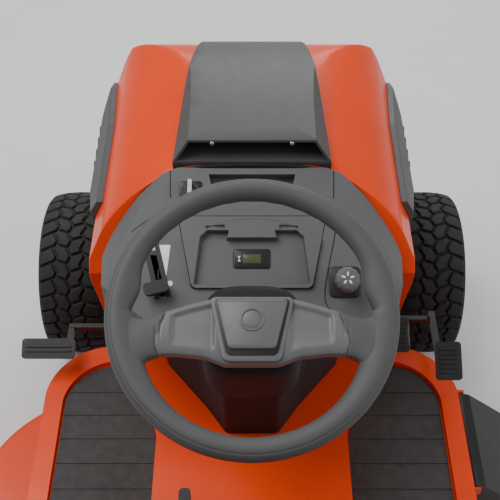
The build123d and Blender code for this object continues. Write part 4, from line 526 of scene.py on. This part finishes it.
skirt = turned([(0.026, skirt_foot), (0.031, -0.056), (0.0315, -0.040), (0.0315, -0.026),
                (0.0315, -0.014), (0.0315, -0.004)], on_skirt)
frame_out = rounded([(-0.055, 0.019), (0.055, 0.019), (0.037, -0.067), (-0.037, -0.067)], 0.010)
# the hub frame takes the lighter grey copy, painted light
piece("wheel_hub_frame", [skirt, plate(frame_out, 0.002, 0.0115, 0.003, on_wheel)],
      finishes["grey_plastic_painted_light"], "steering_wheel", (), 40)
# a black plate between the frame and the cover: painted shade in the groove
groove_out = rounded([(-0.0495, 0.0155), (0.0495, 0.0155), (0.0325, -0.0595), (-0.0325, -0.0595)],
                     0.008)
piece("wheel_hub_groove_shade", [plate(groove_out, 0.008, 0.0121, 0.0005, on_wheel)],
      finishes["black_plastic"], "steering_wheel", (), 40)

# %% The hub's cover, with a plain ring and dome in place of a badge
badge_down = 0.014


def on_badge(x, y, h):
    """The wheel's plane, with its middle moved down to the badge."""
    return on_wheel(x, y - badge_down, h)


cover_out = rounded([(-0.047, 0.0145), (0.047, 0.0145), (0.030, -0.052), (-0.030, -0.052)], 0.007)
badge_ring = turned([(0.0130, 0.0170), (0.0130, 0.0185), (0.0140, 0.0190), (0.0152, 0.0185),
                     (0.0158, 0.0170)], on_badge, 56, closed=True)
badge_dome = turned([(0.0128, 0.0170), (0.0110, 0.0182), (0.006, 0.0188), (0.0015, 0.0190)],
                    on_badge, 56)
# the hub cover takes the lighter grey copy, painted light
piece("wheel_hub_cover", [plate(cover_out, 0.0085, 0.0175, 0.0045, on_wheel), badge_ring,
                          badge_dome], finishes["grey_plastic_painted_light"], "steering_wheel",
      ("steering_hub_cover",), 40)

# %% [markdown]
# ## Details on the dash
# The dash is a sloping face whose corners fall away. Its small features are worked out flat,
# across the face and up it, and then dropped straight onto the moulding by a ray, so each
# one lies on the real surface however it curves. A Shrinkwrap modifier would press them
# quite flat; a ray for each point keeps their own thickness.

# %% The dash's own directions, and dropping points onto a moulding
slope = math.radians(27)
ridge_z = 0.800
ridge_ahead = 0.146  # from the dash's middle forward to its top edge
dash_middle = np.array([0.0, 0.238, ridge_z - ridge_ahead * math.tan(slope)])
up_dash = np.array([0.0, math.cos(slope), math.sin(slope)])
out_dash = np.array([0.0, -math.sin(slope), math.cos(slope)])


def on_dash(x, v, h):
    """Dash middle + x across + v up the face + h out of it."""
    x, v, h = np.broadcast_arrays(x, v, h)
    return (dash_middle + x[..., None] * across_wheel + v[..., None] * up_dash
            + h[..., None] * out_dash)


def dropped(node, spread):
    """Returns a place(x, v, h) that lies h above the node where a ray along the dash's normal,
    from spread away, meets it; a miss falls back to the flat face."""
    ground = nodes[node]

    def place(x, v, h):
        flat_points = on_dash(x, v, np.full(np.shape(x), spread)).reshape(-1, 3)
        lifted = np.broadcast_to(h, np.shape(x)).reshape(-1)
        out = []
        for point, high in zip(flat_points, lifted):
            hit, spot, _, _ = ground.ray_cast(point.tolist(), (-out_dash).tolist())
            base = np.array(spot) if hit else point - spread * out_dash
            out.append(base + high * out_dash)
        return np.array(out).reshape(*np.shape(x), 3)
    return place


def stroke(path, width, low, high, place, count=60):
    """A flat ribbon of the given width along a smooth path, from height low to height high."""
    line = spline(path, count)
    along = np.gradient(line, axis=0)
    along /= np.linalg.norm(along, axis=1, keepdims=True)
    side = np.stack([-along[:, 1], along[:, 0]], -1) * width / 2
    corners = [(1, low), (1, high), (-1, high), (-1, low)]
    ring_set = [place((line + s * side)[:, 0], (line + s * side)[:, 1], h) for s, h in corners]
    return grid_mesh(np.stack(ring_set, 1), False, True, caps=True)


print("dash middle", np.round(dash_middle, 3))

# %% Seams between the dash's mouldings
mark_white = grained("mark_white", (0.8, 0.8, 0.78), 0.5, 0.02, 700, 0.05, 0.0001)
# near-black: the dash's seams and the hood's rubber seal really have it; on the hood's vent slots it
# is painted shade
dark_seam_and_painted_shade = grained("dark_seam_and_painted_shade", (0.004, 0.004, 0.004), 0.7, 0.05, 700, 0.1, 0.0001)
on_console = dropped("dash_console", 0.12)
seam_wide = 0.0016
seam_low = -0.001
seam_high = 0.00035
seams = []
for hand in (-1, 1):
    seams.append(stroke([(hand * 0.136, 0.158), (hand * 0.136, 0.135), (hand * 0.135, 0.110)],
                        seam_wide, seam_low, seam_high, on_console, 20))
seams.append(stroke([(0.138, 0.100), (0.137, 0.055), (0.126, 0.000), (0.118, -0.045),
                     (0.121, -0.071), (0.146, -0.095)], seam_wide, seam_low, seam_high,
                    on_console))
seams.append(stroke([(-0.198, 0.052), (-0.175, 0.070), (-0.144, 0.093)], 0.0012, seam_low,
                    0.0003, on_console, 30))
piece("dash_seams", seams, dark_seam_and_painted_shade, "chassis", (), 50)

# %% Dark slots: an oval and a strip on each side of the throttle lever, black plates as painted shade in these openings, and the key's surround
slot_low = -0.002
slot_high = 0.0009
oval = rounded([(0.108, -0.083), (0.120, -0.079), (0.134, -0.083), (0.134, -0.088),
                (0.120, -0.092), (0.108, -0.088)], 0.006, 4)
# the oval and the two strips are painted shade: black plates where the dash's slots open
slots = [plate(oval, slot_low, 0.0005, 0.0002, on_console)]
lever_way = np.array([-0.242, 0.970])
lever_side = np.array([0.970, 0.242])
lever_mid = np.array([-0.157, -0.002])
strip_off = 0.0090
strip_half_long = 0.058
for hand in (-1, 1):
    strip_mid = lever_mid + hand * strip_off * lever_side
    ends = [strip_mid + k * strip_half_long * lever_way for k in (-1, 0, 1)]
    slots.append(stroke(ends, 0.0078, slot_low, slot_high, on_console, 30))
slots.append(plate(slab(-0.1215, -0.0825, 0.105, 0.140, 0.006), slot_low, slot_high, 0.0003,
                   on_console))
piece("dash_slot_shade_and_key_surround", slots, finishes["black_plastic"], "chassis", (), 50)

# %% [markdown]
# ## Instrument panel
# The panel in the middle of the dash has a raised arch, a shallow tray for the hour meter,
# a lip over the tray with a thicker tab in its middle, and two narrow slots. Booleans could
# cut them from a block. But all of them are one height over the face, so the panel is a
# fine grid whose height is a sum of soft steps, and each edge gets its own softness. A
# skirt round the grid gives the panel thickness.

# %% Height of the panel over the face
def step(distance, soft):
    """1 where distance is well inside, 0 outside, softened over the given width."""
    return smoothstep(-soft / 2, soft / 2, distance)


rows, columns = 200, 380
panel_low, panel_high = -0.0428, 0.0788
panel_foot, foot_half_wide = -0.044, 0.0968
flare = 0.2016  # how much each half widens, for each metre up the panel
panel_corner = 0.008
corner_top = -0.0348
v = np.linspace(panel_low, panel_high, rows)[:, None]
half_panel = foot_half_wide + (v - panel_foot) * flare
round_off = np.clip((corner_top - v) / panel_corner, 0, 1)
half_panel = half_panel - panel_corner * (1 - np.sqrt(1 - round_off ** 2))
x = half_panel * np.linspace(-1, 1, columns)[None, :]
v = np.broadcast_to(v, x.shape)
side_line = np.interp(v, [-0.034, 0.042, 0.052], [0.0925, 0.0835, 0.0735])
tray = (step(side_line - np.abs(x), 0.0035) * step(0.0520 - v, 0.0035)
        * step(v + 0.0355, 0.006))
tab = step(0.0415 - 0.25 * (v - 0.040) - np.abs(x), 0.0025) * step(v - 0.0395, 0.0025)
arch = step(0.0735 - 0.026 * (x / 0.10) ** 2 - v, 0.006)
slot = (step(0.0152 - np.abs(np.abs(x) - 0.0602), 0.0012)
        * step(0.0030 - np.abs(v - 0.0590), 0.0012))
base_rise, arch_rise, tab_rise = 0.0008, 0.0055, 0.0016
tray_sink, slot_sink, skirt_sink = 0.0165, 0.0045, 0.006
panel_h = base_rise + arch_rise * arch - tray_sink * tray * (1 - tab) - slot_sink * slot
panel_h += tab_rise * tab * step(0.0560 - v, 0.0025)

# %% A skirt round the grid, and one face that closes the back
edge_x = np.pad(x, 1, "edge")
edge_v = np.pad(v, 1, "edge")
edge_h = np.pad(panel_h, 1, constant_values=-skirt_sink)
verts, faces = grid_mesh(on_dash(edge_x, edge_v, edge_h))
index = np.arange(edge_x.size).reshape(edge_x.shape)
rim_loop = np.concatenate([index[0, :-1], index[:-1, -1], index[-1, :0:-1], index[:0:-1, 0]])
faces.append(rim_loop[::-1].tolist())
piece("dash_instrument_panel", [(verts, faces)], finishes["grey_plastic"], "chassis",
      ("dash_center_panel",), 50)

# %% Throttle marks: a wedge from fast to slow, and a dot at the choke end
wedge = rounded([(-0.154, 0.030), (-0.133, 0.030), (-0.1395, -0.030), (-0.1415, -0.030)], 0.0015,
                3)
dot_turn = np.linspace(0, 2 * np.pi, 24, endpoint=False)
dot = np.array([-0.1325, -0.0345]) + 0.0045 * np.stack([np.cos(dot_turn), np.sin(dot_turn)], -1)
marks = [plate(outline, -0.001, 0.0006, 0.0002, on_console) for outline in (wedge, dot)]
piece("throttle_marks", marks, mark_white, "chassis", (), 50)

# %% [markdown]
# ## Hour meter
# A small sealed box with rounded edges sits in the tray. Its window is an olive liquid
# crystal, shown as a satin plate that stands just proud of the bezel. Two white triangles
# beside it make a plain hourglass, and there are no figures, because the display is off.
# Cubes with bevels would do, but plates take one corner radius each and need no modifier.

# %% Bezel, window and marks
meter_v = 0.0079
meter_sink = 0.013
screen_glass = grained("screen_olive", (0.075, 0.085, 0.035), 0.35, 0.05, 500, 0.02, 0.0001,
                       coat=0.15)


def on_meter(x, v, h):
    """The dash's plane, with its middle moved to the meter on the floor of the tray."""
    return on_dash(x, v + meter_v, h - meter_sink)


bezel = plate(slab(-0.031, 0.031, -0.017, 0.017, 0.0065), 0.0, 0.0088, 0.0022, on_meter)
piece("hour_meter_case", [bezel], finishes["black_plastic"], "chassis", ("hour_meter",),
      50)
piece("hour_meter_window", [plate(slab(-0.0145, 0.0145, -0.0075, 0.0075, 0.0015), 0.0075, 0.0091,
                                  0.0004, on_meter)], screen_glass, "chassis", (),
      50)
glass_marks = []
for flip in (-1, 1):
    tri = np.array([(-0.0235, flip * 0.0045), (-0.0185, flip * 0.0045), (-0.021, 0.0)])
    glass_marks.append(plate(tri, 0.008, 0.00905, 0.00005, on_meter))
piece("hour_meter_marks", glass_marks, mark_white, "chassis", (), 50)

# %% [markdown]
# ## Blade switch
# The knob that starts the blades is pulled up to switch on. It is a fluted dome on a short
# neck. The Screw modifier could turn its profile, but then the flutes would have to be cut.
# Here the radius also waves with the angle, so one grid has both.

# %% Fluted knob
knob_x, knob_y = 0.150, 0.205
knob_v = (knob_y - dash_middle[1]) / math.cos(slope)
flutes = 12
flute_depth = 0.045  # as a share of the radius


def on_knob(x, v, h):
    """The dash's plane, with its middle moved to the knob."""
    return on_dash(x + knob_x, v + knob_v, h)


profile = np.array([(0.0088, 0.004), (0.0088, 0.026), (0.0120, 0.0285), (0.0185, 0.0295),
                    (0.0202, 0.0320), (0.0205, 0.0400), (0.0203, 0.0440), (0.0188, 0.0472),
                    (0.0150, 0.0490), (0.0080, 0.0498), (0.0012, 0.0500)])
angle = np.linspace(0, 2 * np.pi, 144, endpoint=False)[None, :]
wave = 0.5 + 0.5 * np.cos(flutes * angle)
flute = 1 - flute_depth * smoothstep(0.014, 0.0205, profile[:, :1]) * wave
radius = profile[:, :1] * flute
dome = grid_mesh(on_knob(radius * np.cos(angle), radius * np.sin(angle),
                         np.broadcast_to(profile[:, 1:], radius.shape)), False, True, caps=True)
piece("blade_switch_dome", [dome], finishes["grey_plastic"], "blade_switch",
      ("blade_switch_knob",), 50)

# %% Five petals printed on the knob, and the square base it stands on
loop = np.linspace(0, 2 * np.pi, 16, endpoint=False)
petal = np.stack([0.0072 + 0.0036 * np.cos(loop), 0.0017 * np.sin(loop)], -1)
petals = []
for k in range(5):
    t = k * 2 * np.pi / 5 + 0.3
    turned_petal = petal @ np.array([[math.cos(t), math.sin(t)], [-math.sin(t), math.cos(t)]])
    petals.append(plate(turned_petal, 0.0485, 0.0503, 0.0001, on_knob))
piece("blade_switch_marks", petals, mark_white, "blade_switch", (), 50)
base_out = rounded([(0.124, -0.058), (0.176, -0.058), (0.176, -0.006), (0.124, -0.006)], 0.012)
piece("blade_switch_base", [plate(base_out, -0.002, 0.0035, 0.0015, on_console)],
      finishes["black_plastic"], "chassis", (), 50)

# %% [markdown]
# ## Column shroud
# Below the wheel's hub the tube disappears into a moulded shroud. From the seat it shows as
# a low arch behind the hub. It is a short loft along the column: a boxy ellipse that widens
# a little on its way down, with a rounded top edge. A scaled cylinder with a bevel comes
# close, but three short lists give each height its own width and depth.

# %% Shroud round the column
heights = np.array([-0.0660, -0.0665, -0.0690, -0.0740, -0.0900, -0.1200, -0.1500, -0.1950])
widths = np.array([0.0420, 0.0580, 0.0650, 0.0680, 0.0700, 0.0710, 0.0715, 0.0720])
depths = np.array([0.0400, 0.0540, 0.0600, 0.0630, 0.0645, 0.0660, 0.0670, 0.0680])
loop = np.linspace(0, 2 * np.pi, 96, endpoint=False)[None, :]
box_like = 0.62  # a power under 1 fills out the ellipse's corners
x = widths[:, None] * np.sign(np.cos(loop)) * np.abs(np.cos(loop)) ** box_like
y = depths[:, None] * np.sign(np.sin(loop)) * np.abs(np.sin(loop)) ** box_like
shroud = grid_mesh(on_wheel(x, y, np.broadcast_to(heights[:, None], x.shape)), False, True,
                   caps=True, flip=True)
piece("column_shroud", [shroud], finishes["dark_plastic"], "chassis", (), 40)

# %% [markdown]
# ## Seat
# The cushion and backrest are vinyl over foam. Foam pushes the cover out between its seams.
# Sculpting could imitate that; cloth simulation with a little pressure gives it by itself.
# The pad starts a bit small, swells for twenty frames with gravity off, and how far it may
# move is capped. Sewn channels are pressed in afterwards, because remeshing would erase
# them.

# %% Swell a pad with cloth
voxel = 0.006
pressure = 4.0
swell_frames = 20


def pad_shape(length, width, height, place, corner=0.45):
    """A rounded box: superellipse outline (across, along) and a domed height."""
    u = np.linspace(0, 2 * np.pi, 96, endpoint=False)[None, :]
    w = np.linspace(-np.pi / 2, np.pi / 2, 30)[:, None]
    ring_now = np.sign(np.cos(w)) * np.abs(np.cos(w)) ** 0.4
    x = width / 2 * ring_now * np.sign(np.cos(u)) * np.abs(np.cos(u)) ** corner
    y = length / 2 * ring_now * np.sign(np.sin(u)) * np.abs(np.sin(u)) ** corner
    h = height / 2 * np.sign(np.sin(w)) * np.abs(np.sin(w)) ** 0.55 * np.ones_like(u)
    return grid_mesh(place(x, y, h), False, True, caps=True)


def swell_pad(name, shape, node, cap, low_box, high_box, press):
    """Remeshes the shape, swells it as cloth and caps each point's move, presses the channels in
    by press(points), keeps it inside the node's box, then subdivides once."""
    obj = piece(name, [shape], finishes["seat_cover"], "seat", (node,), 70)
    remesh = obj.modifiers.new("voxels", "REMESH")
    remesh.mode = "VOXEL"
    remesh.voxel_size = voxel
    bake(obj)
    count = len(obj.data.vertices)
    start = np.empty(count * 3)
    obj.data.vertices.foreach_get("co", start)
    cloth = obj.modifiers.new("foam", "CLOTH")
    cloth.settings.use_pressure = True
    cloth.settings.uniform_pressure_force = pressure
    cloth.settings.effector_weights.gravity = 0.0
    scene = bpy.context.scene
    for number in range(1, swell_frames + 1):
        scene.frame_set(number)
    bake(obj)
    scene.frame_set(1)
    end = np.empty(count * 3)
    obj.data.vertices.foreach_get("co", end)
    start = start.reshape(-1, 3)
    move = end.reshape(-1, 3) - start
    size = np.linalg.norm(move, axis=1, keepdims=True) + 1e-9
    points = start + move * np.minimum(1.0, cap / size)
    points = press(points)
    points = np.clip(points, low_box, high_box)
    obj.data.vertices.foreach_set("co", points.astype(np.float32).ravel())
    obj.data.update()
    smooth = obj.modifiers.new("smooth", "SUBSURF")
    smooth.levels = smooth.render_levels = 1
    bake(obj)
    obj.data.polygons.foreach_set("use_smooth", np.ones(len(obj.data.polygons), bool))
    print(name, "swelled by up to", round(float(np.max(size)), 4), "before its cap of", cap)
    return obj


def bake(obj):
    """Replaces the object's mesh by the result of its modifiers."""
    view = bpy.context.evaluated_depsgraph_get()
    made = bpy.data.meshes.new_from_object(obj.evaluated_get(view))
    old = obj.data
    obj.modifiers.clear()
    obj.data = made
    made.name = old.name + "_made"
    bpy.data.meshes.remove(old)


print("pads swell for up to", swell_frames, "frames")

# %% Cushion
channel_deep = 0.006
room_to_swell = 0.008
cushion_low, cushion_high = [np.array(c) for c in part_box("seat_cushion")]
cushion_mid = (cushion_low + cushion_high) / 2
cushion_size = cushion_high - cushion_low


def press_cushion(p):
    """Three channels run fore and aft and one across, and a shallow dish lies in the middle."""
    depth = np.zeros(len(p))
    for at in (-0.075, 0.0, 0.075):
        depth += np.exp(-((p[:, 0] - at) / 0.0045) ** 2)
    depth += np.exp(-((p[:, 1] - cushion_high[1] + 0.075) / 0.005) ** 2)
    top = smoothstep(cushion_mid[2], cushion_high[2] - 0.015, p[:, 2])
    edge = smoothstep(0.0, 0.04, cushion_size[0] / 2 - np.abs(p[:, 0]))
    dish = 0.012 * np.exp(-(p[:, 0] / 0.11) ** 2 - ((p[:, 1] - cushion_mid[1]) / 0.10) ** 2)
    moved = p.copy()
    moved[:, 2] -= top * (channel_deep * np.minimum(depth, 1.2) * edge + dish)
    return moved


def on_cushion(x, y, h):
    """Cushion middle + x to the right + y forward + h up."""
    return np.stack([x + cushion_mid[0], y + cushion_mid[1], h + cushion_mid[2]], -1)


swell_pad("seat_cushion_pad",
          pad_shape(cushion_size[1] - 2 * room_to_swell, cushion_size[0] - 2 * room_to_swell,
                    cushion_size[2] - 0.012, on_cushion, 0.38),
          "seat_cushion", 0.012, cushion_low, cushion_high, press_cushion)

# %% Backrest, in the directions of its own lean
back_lean = math.radians(15)
back_up = np.array([0.0, -math.sin(back_lean), math.cos(back_lean)])
back_out = np.array([0.0, math.cos(back_lean), math.sin(back_lean)])
back_low, back_high = [np.array(c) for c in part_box("seat_backrest")]
back_mid = (back_low + back_high) / 2
back_wide = 0.41
back_tall = 0.332
back_thick = 0.060


def press_back(p):
    """Two upright channels and one across, and a shallow hollow behind the driver's back."""
    across = p[:, 0]
    up = (p - back_mid) @ back_up
    out = (p - back_mid) @ back_out
    depth = np.exp(-((np.abs(across) - 0.07) / 0.0045) ** 2)
    depth += np.exp(-((up - 0.085) / 0.005) ** 2)
    face = smoothstep(0.0, back_thick / 2 - 0.012, out)
    edge = smoothstep(0.0, 0.04, back_wide / 2 - np.abs(across))
    hollow = 0.010 * np.exp(-(across / 0.10) ** 2 - ((up + 0.01) / 0.12) ** 2)
    sunk = face * (channel_deep * np.minimum(depth, 1.2) * edge + hollow)
    return p - sunk[:, None] * back_out


def on_back(x, y, h):
    """Backrest middle + x across + y up its lean + h out of its face."""
    return (back_mid + x[..., None] * across_wheel + y[..., None] * back_up
            + h[..., None] * back_out)


swell_pad("seat_backrest_pad",
          pad_shape(back_tall - 0.014, back_wide - 2 * room_to_swell, back_thick - 0.010,
                    on_back, 0.36),
          "seat_backrest", 0.010, back_low, back_high, press_back)

# %% [markdown]
# ## Vents and seals on the hood
# Each side panel breathes through slanted louvres. A louvre is a slot with a raised lip
# beside it; each slot here is a near-black strip, painted shade where the louvre opens.
# Cutting them through the CAD panel would be truer, but the panel is fixed, so both are
# dropped sideways onto it and follow its bulge. A rubber seal closes the joint between the
# hood's rear edge and the intake on top of it.

# %% Drop a shape sideways onto a side panel
def on_side(hand):
    """Returns a place(y, z, h) that lies h outside the panel where a ray along x meets it; a
    miss falls back to a plane at the panel's usual distance."""
    panel = nodes["hood_side_panels"]
    start_x, panel_x = 0.5, 0.29

    def place(y, z, h):
        y, z, h = [np.asarray(a, float) for a in np.broadcast_arrays(y, z, h)]
        out = []
        for py, pz, high in zip(y.ravel(), z.ravel(), h.ravel()):
            hit, spot, _, _ = panel.ray_cast((hand * start_x, py, pz), (-hand, 0, 0))
            face_x = spot[0] if hit else hand * panel_x
            out.append((face_x + hand * high, py, pz))
        return np.array(out).reshape(*y.shape, 3)
    return place


# %% Five louvres on each side
vent_first_y = 0.545
vent_apart = 0.034
vent_z = 0.585
vent_slant = 0.018  # how far each end lies before or behind the middle
vent_low = -0.003
for hand, word in ((-1, "left"), (1, "right")):
    place = on_side(hand)
    slots = []
    lips = []
    for k in range(5):
        y0 = vent_first_y + vent_apart * k
        slot_line = [(y0 + s * vent_slant, vent_z + s * 0.055) for s in (-1, 0, 1)]
        # each slot is a near-black strip: painted shade where the louvre opens
        slots.append(stroke(slot_line, 0.011, vent_low, 0.0006, place, 24))
        lip_line = [(y0 + 0.0065 + s * vent_slant, vent_z + s * 0.056) for s in (-1, 0, 1)]
        lips.append(stroke(lip_line, 0.0045, vent_low, 0.0030, place, 24))
    if hand > 0:
        # the mirrored side would be inside out
        slots = [(points, [f[::-1] for f in faces]) for points, faces in slots]
        lips = [(points, [f[::-1] for f in faces]) for points, faces in lips]
    piece(f"hood_vent_slots_{word}", slots, dark_seam_and_painted_shade, "hood", (), 50)
    piece(f"hood_vent_lips_{word}", lips, finishes["dark_plastic"], "hood", (), 50)

# %% Seal under the intake: an upright ellipse carried along the hood's rear edge
seal_y, seal_half_deep, seal_half_high = 0.3860, 0.0032, 0.0050
bar = np.linspace(-0.135, 0.135, 60)
ring_turn = np.linspace(0, 2 * np.pi, 16, endpoint=False)
seal_z = 0.8015 - 0.103 * (np.abs(bar) / 0.258) ** 3  # falls as the hood's edge does
seal = np.stack([np.broadcast_to(bar[:, None], (60, 16)),
                 seal_y + seal_half_deep * np.broadcast_to(np.cos(ring_turn), (60, 16)),
                 seal_z[:, None] + seal_half_high * np.sin(ring_turn)], -1)
piece("hood_rear_seal", [grid_mesh(seal, False, True, caps=True)], dark_seam_and_painted_shade, "hood",
      (), 50)

# %% Two screw heads in the mouth of the intake
clip_x, clip_y, clip_z = 0.066, 0.4015, 0.8395
clip_profile = [(0.0005, 0.0), (0.0035, 0.0), (0.0042, 0.0015), (0.0036, 0.0034),
                (0.0018, 0.0042), (0.0004, 0.0044)]
clips = []
for hand in (-1, 1):
    clips.append(turned(clip_profile,
                        lambda x, y, h, hand=hand: np.stack([x + hand * clip_x, clip_y - h,
                                                             y + clip_z], -1), 20))
piece("intake_clips", clips, finishes["steel"], "hood", (), 50)

# %% [markdown]
# ## Floor, light and camera
# A pale floor that curves up into a wall keeps the background plain. A large soft lamp
# above and to the left, a weaker one on the right and a broad one ahead of the hood give
# the gentle highlights of a showroom; a sun lamp would draw hard shadows. The camera
# stands over the seat and looks down past the wheel.

# %% Pale floor and wall
def backdrop():
    """A sheet 28 m wide: flat at the ground, then a quarter circle of 2 m up into a wall."""
    bend = np.linspace(0, np.pi / 2, 24)
    run = np.concatenate([[[-13.0, 0.0]], np.stack([9 + 2 * np.sin(bend), 2 - 2 * np.cos(bend)], -1),
                          [[11.0, 8.0]]])
    x = np.linspace(-14, 14, 2)
    points = np.stack([np.broadcast_to(x, (len(run), 2)),
                       np.broadcast_to(run[:, :1], (len(run), 2)),
                       np.broadcast_to(run[:, 1:], (len(run), 2))], -1)
    verts, faces = grid_mesh(points)
    mesh = bpy.data.meshes.new("studio_floor")
    mesh.from_pydata(verts.tolist(), [], faces)
    mesh.polygons.foreach_set("use_smooth", np.ones(len(mesh.polygons), bool))
    floor = bpy.data.objects.new("studio_floor", mesh)
    bpy.context.scene.collection.objects.link(floor)
    mesh.materials.append(grained("pale_floor", (0.80, 0.80, 0.79), 0.7, 0.02, 40, 0.02, 0.0002))
    print("floor", len(mesh.polygons), "faces")


backdrop()

# %% Three soft lamps and pale air
def lamp(name, place, aim, size, power):
    """A square area lamp at place that points at aim."""
    data = bpy.data.lights.new(name, "AREA")
    data.shape = "SQUARE"
    data.size = size
    data.energy = power
    obj = bpy.data.objects.new(name, data)
    bpy.context.scene.collection.objects.link(obj)
    obj.location = place
    way = np.array(aim, float) - np.array(place, float)
    obj.rotation_euler = (math.atan2(math.hypot(way[0], way[1]), -way[2]), 0,
                          math.atan2(-way[0], way[1]))


lamp("key_lamp", (-1.6, 0.6, 3.6), (0, 0.2, 0.6), 2.4, 95)
lamp("side_lamp", (3.2, -0.4, 2.4), (0, 0.1, 0.5), 2.2, 40)
lamp("front_lamp", (0.4, 4.0, 2.6), (0, 0.4, 0.6), 2.5, 70)
world = bpy.data.worlds.new("studio_air")
bpy.context.scene.world = world
world.use_nodes = True
world.node_tree.nodes["Background"].inputs["Color"].default_value = (0.9, 0.91, 0.92, 1)
world.node_tree.nodes["Background"].inputs["Strength"].default_value = 0.4
print(len(bpy.data.lights), "lamps")

# %% Camera over the seat
view = bpy.data.cameras.new("driver_view")
view.lens = 65.16
view.sensor_width = 36.0
view.shift_x = -0.004
eye = bpy.data.objects.new("driver_view", view)
bpy.context.scene.collection.objects.link(eye)
eye.location = (0.0, -0.721, 1.841)
eye.rotation_euler = (math.radians(41.5), 0, 0)
bpy.context.scene.camera = eye
print("camera at", eye.location[:])
